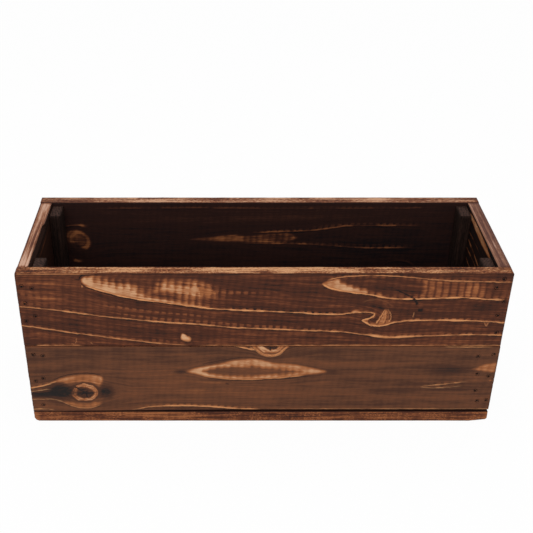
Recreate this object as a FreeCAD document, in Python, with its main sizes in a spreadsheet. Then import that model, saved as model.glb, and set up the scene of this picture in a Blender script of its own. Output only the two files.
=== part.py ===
import os

import FreeCAD
import Part
import Sketcher

# Window box planter: a butt-jointed box of softwood boards, nailed with wire brads.
# Frame: millimetres, origin at the middle of the footprint on the ground, +X along
# the front from left to right, +Y from front to back, +Z up. The front wall is at -Y.
#
# Front and back walls are two boards each and run the full length. The end walls are
# two boards each and stand between them. Two base boards lie under all four walls,
# with a drain gap along the middle. A post stands in each inside corner, and every
# joint is held by brads that sit in the holes they made.

# ---------------------------------------------------------------- driving dimensions
DIMENSIONS = [
    # name, millimetres, meaning
    ("overall_length", 508.0, "outside length of the front, 20 inches"),
    ("overall_depth", 168.0, "front face to back face"),
    ("overall_height", 196.0, "ground to rim"),
    ("stock", 13.5, "thickness of every board"),
    ("seam_height", 104.5, "underside of the upper boards above the ground"),
    ("seam_gap", 0.3, "open line between upper and lower boards"),
    ("arris", 0.8, "eased long edges of the boards"),
    ("foot_gap", 0.2, "base top to the lower boards"),
    ("front_sag", 2.6, "how much higher the lower front board's foot is at the right"),
    ("front_sag_run", 230.0, "left end to the place where that rise is complete"),
    ("rim_corner", 1.5, "rounded top right corner of the upper front board"),
    ("end_drop", 0.4, "end walls below the rim"),
    ("left_inset", 0.3, "left end wall inboard of the long walls' ends"),
    ("wane_width", 2.8, "missing inner top edge of the upper left end board"),
    ("wane_fall", 7.0, "depth of that missing edge"),
    ("wane_lip", 0.4, "upright step at its upper end"),
    ("wane_toe", 0.3, "wood that it still takes at its lower end"),
    ("wane_run", 92.0, "its length from the front"),
    ("drain_gap", 6.0, "slot between the two base boards"),
    ("worn_left", 5.0, "rounded bottom left corner of the front base board"),
    ("worn_left_middle", 1.5, "middle of that rounding, in from both faces"),
    ("worn_right_run", 20.0, "worn bottom right corner, along the board"),
    ("worn_right_rise", 3.8, "worn bottom right corner, upwards"),
    ("worn_right_turn", 1.5, "where that wear turns steeper, in from the end"),
    ("worn_right_step", 2.2, "its height at that turn"),
    ("post_width", 13.0, "post along X"),
    ("post_depth", 25.0, "post along Y"),
    ("post_drop", 4.0, "post tops below the rim"),
    ("post_bevel", 1.2, "broken edges round the post tops"),
    ("brad_wide", 1.2, "shank, the wide way"),
    ("brad_thin", 1.0, "shank and head, the thin way"),
    ("brad_head", 2.0, "head, the wide way"),
    ("brad_head_height", 1.1, "thickness of the head"),
    ("brad_point", 2.2, "length of the chisel point"),
    ("brad_sink", 0.6, "head below the face of the wood"),
    ("brad_long", 32.0, "brads through the long walls and the base"),
    ("brad_short", 22.0, "brads through the end walls into the posts"),
    ("cutter_reach", 2.0, "how far a cutting shape stands out of the wood"),
]

NEAR = 0.01             # millimetres within which an edge counts as lying at a place
PARALLEL = 0.999        # cosine above which an edge counts as parallel to a direction
FACET = 0.1             # millimetres between a curved face and its triangles, for the counts

# Brads of the long walls: distance in from the wall's end, height above the ground.
# The outer column goes into the end board's end grain, the inner one into the post.
LEFT_CORNER_BRADS = [
    (5.8, 180.2), (15.9, 178.1), (6.8, 159.0), (16.3, 143.1), (5.8, 137.2),
    (7.9, 92.8), (18.7, 91.5), (15.7, 60.9), (6.8, 57.4), (12.6, 23.1),
]
RIGHT_CORNER_BRADS = [
    (10.0, 189.0), (15.5, 178.9), (5.7, 162.5), (9.3, 144.2), (7.5, 122.5),
    (5.3, 93.7), (22.1, 90.9), (20.0, 66.3), (7.0, 62.7), (18.9, 41.9),
    (14.8, 27.7), (4.8, 28.0),
]
# Brads of each end wall: distance from the nearer long face, height above the ground.
END_WALL_BRADS = [(25.0, 168.0), (27.0, 116.0), (24.5, 78.0), (26.5, 34.0)]
# Brads from below: places along the long walls, and off centre in the end walls.
BASE_LONG_PLACES = [-190.0, -96.0, 2.0, 94.0, 191.0]
BASE_END_PLACES = [-38.0, 36.0]

INTO_BACK = FreeCAD.Rotation(FreeCAD.Vector(1, 0, 0), -90)
INTO_FRONT = FreeCAD.Rotation(FreeCAD.Vector(1, 0, 0), 90)
INTO_RIGHT = FreeCAD.Rotation(FreeCAD.Vector(0, 1, 0), 90)
INTO_LEFT = FreeCAD.Rotation(FreeCAD.Vector(0, 1, 0), -90)
STRAIGHT_UP = FreeCAD.Rotation()

doc = FreeCAD.newDocument("window_box_planter")
subparts = []


def make_sheet():
    sheet = doc.addObject("Spreadsheet::Sheet", "dims")
    for row, (name, size, meaning) in enumerate(DIMENSIONS, start=1):
        sheet.set(f"A{row}", meaning)
        sheet.set(f"B{row}", str(size))
        sheet.setAlias(f"B{row}", name)
    doc.recompute()
    return sheet


def place(obj, x, y, z, rotation=STRAIGHT_UP):
    """Puts an object at sheet expressions x, y, z, turned by a rotation."""
    obj.Placement = FreeCAD.Placement(FreeCAD.Vector(), rotation)
    for axis, expression in zip("xyz", (x, y, z)):
        obj.setExpression(f"Placement.Base.{axis}", expression)


def origin_plane(body, role):
    return next(feature for feature in body.Origin.OriginFeatures if feature.Role == role)


def outline_sketch(body, role, corners):
    """A closed polygon on one of the body's own planes. Each corner is a pair of sheet
    expressions, and a corner on an axis is held there by the axis itself."""
    sketch = body.newObject("Sketcher::SketchObject", body.Name + "_outline")
    sketch.AttachmentSupport = [(origin_plane(body, role), "")]
    sketch.MapMode = "FlatFace"
    points = [
        FreeCAD.Vector(float(sketch.evalExpression(across)), float(sketch.evalExpression(along)), 0)
        for across, along in corners
    ]
    count = len(points)
    for index in range(count):
        sketch.addGeometry(Part.LineSegment(points[index], points[(index + 1) % count]), False)
    for index in range(count):
        sketch.addConstraint(Sketcher.Constraint("Coincident", index, 2, (index + 1) % count, 1))
    for index, (across, along) in enumerate(corners):
        hold_point(sketch, index, "DistanceX", -2, across)
        hold_point(sketch, index, "DistanceY", -1, along)
    return sketch


def hold_point(sketch, line, kind, axis, expression):
    """Holds the start of a line at a distance from the origin along one direction."""
    value = float(sketch.evalExpression(expression))
    if value == 0:
        sketch.addConstraint(Sketcher.Constraint("PointOnObject", line, 1, axis))
        return
    constraint = sketch.addConstraint(Sketcher.Constraint(kind, -1, 1, line, 1, value))
    label = f"{kind}_{line}"
    sketch.renameConstraint(constraint, label)
    sketch.setExpression(f"Constraints.{label}", expression)


def pad(body, sketch, length, reverse=False):
    feature = body.newObject("PartDesign::Pad", body.Name + "_pad")
    feature.Profile = sketch
    feature.setExpression("Length", length)
    feature.Reversed = reverse
    doc.recompute()
    return feature


def edges_along(shape, direction, test=lambda point: True):
    """Names of the straight edges parallel to a direction whose middle passes a test."""
    names = []
    for index, edge in enumerate(shape.Edges, start=1):
        ends = [vertex.Point for vertex in edge.Vertexes]
        if len(ends) != 2:
            continue
        run = (ends[1] - ends[0]).normalize()
        if abs(run.dot(direction)) > PARALLEL and test((ends[0] + ends[1]) * 0.5):
            names.append(f"Edge{index}")
    return names


def dress(body, kind, names, size):
    """Adds a chamfer or fillet to named edges of the body's last feature."""
    base = body.Tip
    feature = body.newObject(f"PartDesign::{kind}", f"{body.Name}_{kind.lower()}")
    feature.Base = (base, names)
    feature.setExpression("Size" if kind == "Chamfer" else "Radius", size)
    body.Tip = feature
    doc.recompute()
    return feature


# ------------------------------------------------------------------------- the boards
def long_board(name, foot_points, top, y_base):
    """A full-length board seen from the front: its foot runs through the given points
    from left to right, its top is level, and it is one stock thick along +Y."""
    body = doc.addObject("PartDesign::Body", name + "_blank")
    corners = foot_points + [("dims.overall_length", top), ("0", top)]
    pad(body, outline_sketch(body, "XZ_Plane", corners), "dims.stock", reverse=True)
    place(body, "-dims.overall_length / 2", y_base, "0")
    return body


def ease_long_board(body):
    along = FreeCAD.Vector(1, 0, 0)
    dress(body, "Chamfer", edges_along(body.Tip.Shape, along), "dims.arris")


def end_board(name, foot, top, x_base):
    """A board of an end wall, between the long walls, one stock thick along +X."""
    body = doc.addObject("PartDesign::Body", name + "_blank")
    length = "dims.overall_depth - 2 * dims.stock"
    corners = [("0", foot), (length, foot), (length, top), ("0", top)]
    pad(body, outline_sketch(body, "YZ_Plane", corners), "dims.stock")
    dress(body, "Chamfer", edges_along(body.Tip.Shape, FreeCAD.Vector(0, 1, 0)), "dims.arris")
    place(body, x_base, "-dims.overall_depth / 2 + dims.stock", "0")
    return body


def cut_wane(body):
    """Takes the bark edge off the inner top arris of the upper left end board."""
    sketch = outline_sketch(body, "XZ_Plane", [
        ("dims.stock - dims.wane_width", "dims.overall_height"),
        ("dims.stock - dims.wane_width", "dims.overall_height - dims.end_drop - dims.wane_lip"),
        ("dims.stock - dims.wane_toe", "dims.overall_height - dims.wane_fall"),
        ("dims.stock + dims.cutter_reach", "dims.overall_height - dims.wane_fall"),
        ("dims.stock + dims.cutter_reach", "dims.overall_height"),
    ])
    before = body.Tip.Shape.Volume
    pocket = body.newObject("PartDesign::Pocket", body.Name + "_wane")
    pocket.Profile = sketch
    pocket.setExpression("Length", "dims.wane_run")
    body.Tip = pocket
    doc.recompute()
    print(f"wane takes {before - pocket.Shape.Volume:.0f} cubic millimetres")


def base_board(name, corners, y_base):
    """Half of the base: its outline is the front elevation, drawn along +Y."""
    body = doc.addObject("PartDesign::Body", name + "_blank")
    width = "(dims.overall_depth - dims.drain_gap) / 2"
    pad(body, outline_sketch(body, "XZ_Plane", corners), width, reverse=True)
    place(body, "-dims.overall_length / 2", y_base, "0")
    return body


def corner_post(name, x_base, y_base):
    """A stick standing on the base in an inside corner, with a broken top edge."""
    body = doc.addObject("PartDesign::Body", name + "_blank")
    corners = [
        ("0", "0"), ("dims.post_width", "0"),
        ("dims.post_width", "dims.post_depth"), ("0", "dims.post_depth"),
    ]
    height = "dims.overall_height - dims.post_drop - dims.stock"
    pad(body, outline_sketch(body, "XY_Plane", corners), height)
    shape = body.Tip.Shape
    top = shape.BoundBox.ZMax

    def at_top(point):
        return abs(point.z - top) < NEAR

    rim = edges_along(shape, FreeCAD.Vector(1, 0, 0), at_top)
    rim += edges_along(shape, FreeCAD.Vector(0, 1, 0), at_top)
    dress(body, "Chamfer", rim, "dims.post_bevel")
    place(body, x_base, y_base, "dims.stock")
    return body


# -------------------------------------------------------------------------- the brads
def brad_body(name, length, reach):
    """A flat wire brad along +Z, its head's top at the sink depth. A cutter is the
    same brad with its head reaching back out of the wood."""
    body = doc.addObject("PartDesign::Body", name)
    head, shank = "dims.brad_head / 2", "dims.brad_wide / 2"
    top = f"dims.brad_sink - {reach}"
    neck = "dims.brad_sink + dims.brad_head_height"
    shoulder = f"dims.brad_sink + {length} - dims.brad_point"
    tip = f"dims.brad_sink + {length}"
    corners = [
        (f"-{head}", top), (head, top), (head, neck), (shank, neck), (shank, shoulder),
        ("0", tip), (f"-{shank}", shoulder), (f"-{shank}", neck), (f"-{head}", neck),
    ]
    feature = pad(body, outline_sketch(body, "XZ_Plane", corners), "dims.brad_thin")
    feature.Midplane = True
    return body


def brad_group(name, model, positions, cutters=False):
    """Copies of one brad at (x, y, z, rotation), kept together in a compound."""
    copies = []
    for index, (x, y, z, rotation) in enumerate(positions, start=1):
        copy = doc.addObject("App::Link", f"{name}_{index}")
        copy.LinkedObject = model
        place(copy, x, y, z, rotation)
        copies.append(copy)
    group = doc.addObject("Part::Compound", name)
    group.Links = copies
    if not cutters:
        group.Label = name
        subparts.append(group)
    return group


def long_wall_positions(side, face):
    """Brads of one corner of a long wall. side is -1 at the left and 1 at the right,
    face is -1 for the front wall and 1 for the back wall."""
    brads = LEFT_CORNER_BRADS if side < 0 else RIGHT_CORNER_BRADS
    turn = INTO_BACK if face < 0 else INTO_FRONT
    return [
        (f"{side} * (dims.overall_length / 2 - {inset})", f"{face} * dims.overall_depth / 2",
         str(height), turn)
        for inset, height in brads
    ]


def end_wall_positions(side):
    face = "-dims.overall_length / 2 + dims.left_inset" if side < 0 else "dims.overall_length / 2"
    turn = INTO_RIGHT if side < 0 else INTO_LEFT
    return [
        (face, f"{end} * (dims.overall_depth / 2 - {inset})", str(height), turn)
        for end in (-1, 1)
        for inset, height in END_WALL_BRADS
    ]


def base_positions():
    wall_middle = "(dims.overall_depth - dims.stock) / 2"
    left_middle = "-dims.overall_length / 2 + dims.left_inset + dims.stock / 2"
    right_middle = "dims.overall_length / 2 - dims.stock / 2"
    positions = [
        (str(x), f"{face} * {wall_middle}", "0", STRAIGHT_UP)
        for face in (-1, 1)
        for x in BASE_LONG_PLACES
    ]
    positions += [
        (x, str(y), "0", STRAIGHT_UP)
        for x in (left_middle, right_middle)
        for y in BASE_END_PLACES
    ]
    return positions


def seat(name, blank, cutters):
    """The finished board: its blank less the holes of the brads that pass through."""
    tools = doc.addObject("Part::Compound", name + "_holes")
    tools.Links = cutters
    cut = doc.addObject("Part::Cut", name)
    cut.Base = blank
    cut.Tool = tools
    cut.Label = name
    subparts.append(cut)


# ------------------------------------------------------------------------ the planter
make_sheet()

brad_long = brad_body("brad_long_model", "dims.brad_long", "0")
brad_short = brad_body("brad_short_model", "dims.brad_short", "0")
cutter_long = brad_body("brad_long_cutter", "dims.brad_long", "dims.cutter_reach")
cutter_short = brad_body("brad_short_cutter", "dims.brad_short", "dims.cutter_reach")

GROUPS = {
    "brads_front_left": (brad_long, cutter_long, long_wall_positions(-1, -1)),
    "brads_front_right": (brad_long, cutter_long, long_wall_positions(1, -1)),
    "brads_back_left": (brad_long, cutter_long, long_wall_positions(-1, 1)),
    "brads_back_right": (brad_long, cutter_long, long_wall_positions(1, 1)),
    "brads_left_end": (brad_short, cutter_short, end_wall_positions(-1)),
    "brads_right_end": (brad_short, cutter_short, end_wall_positions(1)),
    "brads_base": (brad_long, cutter_long, base_positions()),
}
cutters = {}
for group_name, (model, cutter, positions) in GROUPS.items():
    brad_group(group_name, model, positions)
    cutters[group_name] = brad_group(group_name + "_cutters", cutter, positions, cutters=True)

front_face = "-dims.overall_depth / 2"
back_face = "dims.overall_depth / 2 - dims.stock"
foot = "dims.stock + dims.foot_gap"
lower_top = "dims.seam_height - dims.seam_gap"
level_foot = [("0", foot), ("dims.overall_length", foot)]
sagging_foot = [
    ("0", foot),
    ("dims.front_sag_run", f"{foot} + dims.front_sag"),
    ("dims.overall_length", f"{foot} + dims.front_sag"),
]
upper_foot = [("0", "dims.seam_height"), ("dims.overall_length", "dims.seam_height")]

front_upper = long_board("front_board_upper", upper_foot, "dims.overall_height", front_face)
length = doc.dims.overall_length
height = doc.dims.overall_height
top_right = edges_along(
    front_upper.Tip.Shape, FreeCAD.Vector(0, 1, 0),
    lambda point: point.x > length - NEAR and point.z > height - NEAR)
dress(front_upper, "Fillet", top_right, "dims.rim_corner")
ease_long_board(front_upper)
front_lower = long_board("front_board_lower", sagging_foot, lower_top, front_face)
ease_long_board(front_lower)
back_upper = long_board("back_board_upper", upper_foot, "dims.overall_height", back_face)
ease_long_board(back_upper)
back_lower = long_board("back_board_lower", level_foot, lower_top, back_face)
ease_long_board(back_lower)

left_face = "-dims.overall_length / 2 + dims.left_inset"
right_face = "dims.overall_length / 2 - dims.stock"
end_top = "dims.overall_height - dims.end_drop"
left_upper = end_board("left_end_board_upper", "dims.seam_height", end_top, left_face)
cut_wane(left_upper)
left_lower = end_board("left_end_board_lower", "dims.stock", lower_top, left_face)
right_upper = end_board("right_end_board_upper", "dims.seam_height", end_top, right_face)
right_lower = end_board("right_end_board_lower", "dims.stock", lower_top, right_face)

base_front = base_board("base_board_front", [
    ("0", "dims.worn_left"),
    ("dims.worn_left_middle", "dims.worn_left_middle"),
    ("dims.worn_left", "0"),
    ("dims.overall_length - dims.worn_right_run", "0"),
    ("dims.overall_length - dims.worn_right_turn", "dims.worn_right_step"),
    ("dims.overall_length", "dims.worn_right_rise"),
    ("dims.overall_length", "dims.stock"),
    ("0", "dims.stock"),
], front_face)
base_back = base_board("base_board_back", [
    ("0", "0"), ("dims.overall_length", "0"),
    ("dims.overall_length", "dims.stock"), ("0", "dims.stock"),
], "dims.drain_gap / 2")

left_post = "-dims.overall_length / 2 + dims.left_inset + dims.stock"
right_post = "dims.overall_length / 2 - dims.stock - dims.post_width"
front_post = "-dims.overall_depth / 2 + dims.stock"
back_post = "dims.overall_depth / 2 - dims.stock - dims.post_depth"
post_front_left = corner_post("post_front_left", left_post, front_post)
post_front_right = corner_post("post_front_right", right_post, front_post)
post_back_left = corner_post("post_back_left", left_post, back_post)
post_back_right = corner_post("post_back_right", right_post, back_post)

front_left = cutters["brads_front_left"]
front_right = cutters["brads_front_right"]
back_left = cutters["brads_back_left"]
back_right = cutters["brads_back_right"]
left_end = cutters["brads_left_end"]
right_end = cutters["brads_right_end"]
from_below = cutters["brads_base"]

seat("front_board_upper", front_upper, [front_left, front_right])
seat("front_board_lower", front_lower, [front_left, front_right, from_below])
seat("back_board_upper", back_upper, [back_left, back_right])
seat("back_board_lower", back_lower, [back_left, back_right, from_below])
seat("left_end_board_upper", left_upper, [front_left, back_left, left_end])
seat("left_end_board_lower", left_lower, [front_left, back_left, left_end, from_below])
seat("right_end_board_upper", right_upper, [front_right, back_right, right_end])
seat("right_end_board_lower", right_lower, [front_right, back_right, right_end, from_below])
seat("base_board_front", base_front, [from_below])
seat("base_board_back", base_back, [from_below])
seat("post_front_left", post_front_left, [front_left, left_end])
seat("post_front_right", post_front_right, [front_right, right_end])
seat("post_back_left", post_back_left, [back_left, left_end])
seat("post_back_right", post_back_right, [back_right, right_end])

doc.recompute()


# -------------------------------------------------------------- checks and the files
def check_document():
    for obj in doc.Objects:
        failed = {"Invalid", "Error"} & set(obj.State)
        if failed:
            raise RuntimeError(f"{obj.Name} is {failed}")
    for obj in subparts:
        if obj.Shape.isNull() or not obj.Shape.isValid():
            raise RuntimeError(f"{obj.Label} has no valid shape")


def report_subpart(obj):
    shape = obj.Shape
    box = shape.BoundBox
    triangles = len(shape.tessellate(FACET)[1])
    print(f"{obj.Label:24s} solids {len(shape.Solids):2d} triangles {triangles:5d} "
          f"volume {shape.Volume / 1000:8.2f} cm3 "
          f"x {box.XMin:7.1f}..{box.XMax:6.1f} y {box.YMin:6.1f}..{box.YMax:5.1f} "
          f"z {box.ZMin:5.1f}..{box.ZMax:5.1f}")
    return triangles


check_document()
os.makedirs("parts", exist_ok=True)
total = 0
for obj in subparts:
    total += report_subpart(obj)
    obj.Shape.exportStep(f"parts/{obj.Label}.step")
print(f"{len(subparts)} sub-parts, {total} triangles")
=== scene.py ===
"""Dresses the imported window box: scorched, brushed boards, corner posts, heat-darkened brads."""

import math
from collections import namedtuple

import bpy
import numpy as np
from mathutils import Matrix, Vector
from mathutils.bvhtree import BVHTree


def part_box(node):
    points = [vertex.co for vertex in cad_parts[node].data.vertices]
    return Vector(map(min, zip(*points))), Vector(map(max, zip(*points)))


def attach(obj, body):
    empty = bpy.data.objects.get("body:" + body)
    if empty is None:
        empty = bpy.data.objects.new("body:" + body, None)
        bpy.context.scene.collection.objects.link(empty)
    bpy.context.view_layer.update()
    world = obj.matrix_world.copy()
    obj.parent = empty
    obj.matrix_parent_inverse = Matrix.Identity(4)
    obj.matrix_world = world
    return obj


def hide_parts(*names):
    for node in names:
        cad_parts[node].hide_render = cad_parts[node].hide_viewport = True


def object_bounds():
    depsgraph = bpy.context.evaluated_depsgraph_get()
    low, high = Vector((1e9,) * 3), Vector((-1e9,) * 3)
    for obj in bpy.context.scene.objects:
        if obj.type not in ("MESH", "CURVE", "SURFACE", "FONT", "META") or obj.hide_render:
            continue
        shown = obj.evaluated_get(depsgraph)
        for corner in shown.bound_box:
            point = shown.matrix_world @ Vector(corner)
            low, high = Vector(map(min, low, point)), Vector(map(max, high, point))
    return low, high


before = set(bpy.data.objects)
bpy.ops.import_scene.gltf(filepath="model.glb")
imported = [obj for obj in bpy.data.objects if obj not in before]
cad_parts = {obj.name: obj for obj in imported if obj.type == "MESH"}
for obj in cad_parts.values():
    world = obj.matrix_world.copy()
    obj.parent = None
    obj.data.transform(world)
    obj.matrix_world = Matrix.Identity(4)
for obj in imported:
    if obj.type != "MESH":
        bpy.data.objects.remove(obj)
CAD_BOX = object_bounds()

bl_info = {
    "name": "Scorched Window Box",
    "version": (1, 0, 0),
    "blender": (4, 5, 0),
    "location": "View3D > Sidebar > Window Box",
    "description": "Boards, posts, brads and studio of a scorched softwood window box",
    "category": "Add Mesh",
}

MM = 0.001
LOW = CAD_BOX[0] / MM
WHITE = (1.0, 1.0, 1.0)

FLOOR_TILES = 8              # faces along one side of the floor
FLOOR_GLOW = 0.965           # share of plain white in the floor that the camera sees
SENSOR_WIDTH = 36.0          # millimetres
VIEW_RANGE = (0.05, 30.0)    # metres from the camera

# Millimetres, unless they say otherwise.
REACH = 7.0          # distance from a line or an outline to which its field is kept
STROKE_FADE = 3.0    # a stroke has faded out this far before that distance
GUIDE_GAP = 0.8      # least distance between two guides of the grain
KNOT_REACH = 2.6     # knot radii within which a knot still counts
EDGE_STEP = 1.6      # mesh spacing over the thickness of a board
HEAD_DEPTHS = (-1.0, 2.5)        # depths below a face at which a brad's head is looked for
HEAD_SIZE = 2.6                  # points closer than this belong to one head
# A pit's darkness is partly char and partly painted shade inside the hole.
PIT_RINGS = ((1.32, 0.0, 0.0), (1.15, 0.0, 1.0), (0.9, 1.0, 1.0))    # pit radii, depths, darkness
END_RINGS = (0.72, 0.42, 0.14)   # sizes of the rings that close an end, of the section
EDGE_WAVES = (23, 5)             # wave lengths of the unevenness along the head edge
FOOT_WAVES = (27, 6)             # the same along the foot edge
WAVE_FADE = 4.0                  # how far that unevenness goes in from an edge
TEAR_FADE = 3.2                  # how far a torn end goes in from the sawn end
SINK_CLEAR = 0.01                # how far a point is set below the surface it had left
SNAP_REACH = 6.0                 # farthest surface to which such a point is moved

# ------------------------------------------------------------------ the figure of the boards
# Millimetres: along the board from the box's left or front end, then height above the ground.
# A stroke is (half width, strength, fade at its start, fade at its end, points).
# A knot is (along, height, half length, half height, strength).
# A tone spot is (along, height, reach along, reach up, darker when positive), and a rim spot
# (along, reach, darker when positive).
# A lens is (heat, outline) and a core (strength, comb length, outline).

FIGURE_PARTS = ("guides", "lenses", "cores", "lines_a", "lines_b", "lines_c", "ticks_a", "ticks_b",
                "knots", "cracks", "tone", "soot", "rim")


def face_figure(ground=0.0, **parts):
    """The figure of one board face. Parts that it doesn't have stay empty."""
    return {"ground": ground, **{key: [] for key in FIGURE_PARTS}, **parts}


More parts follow.
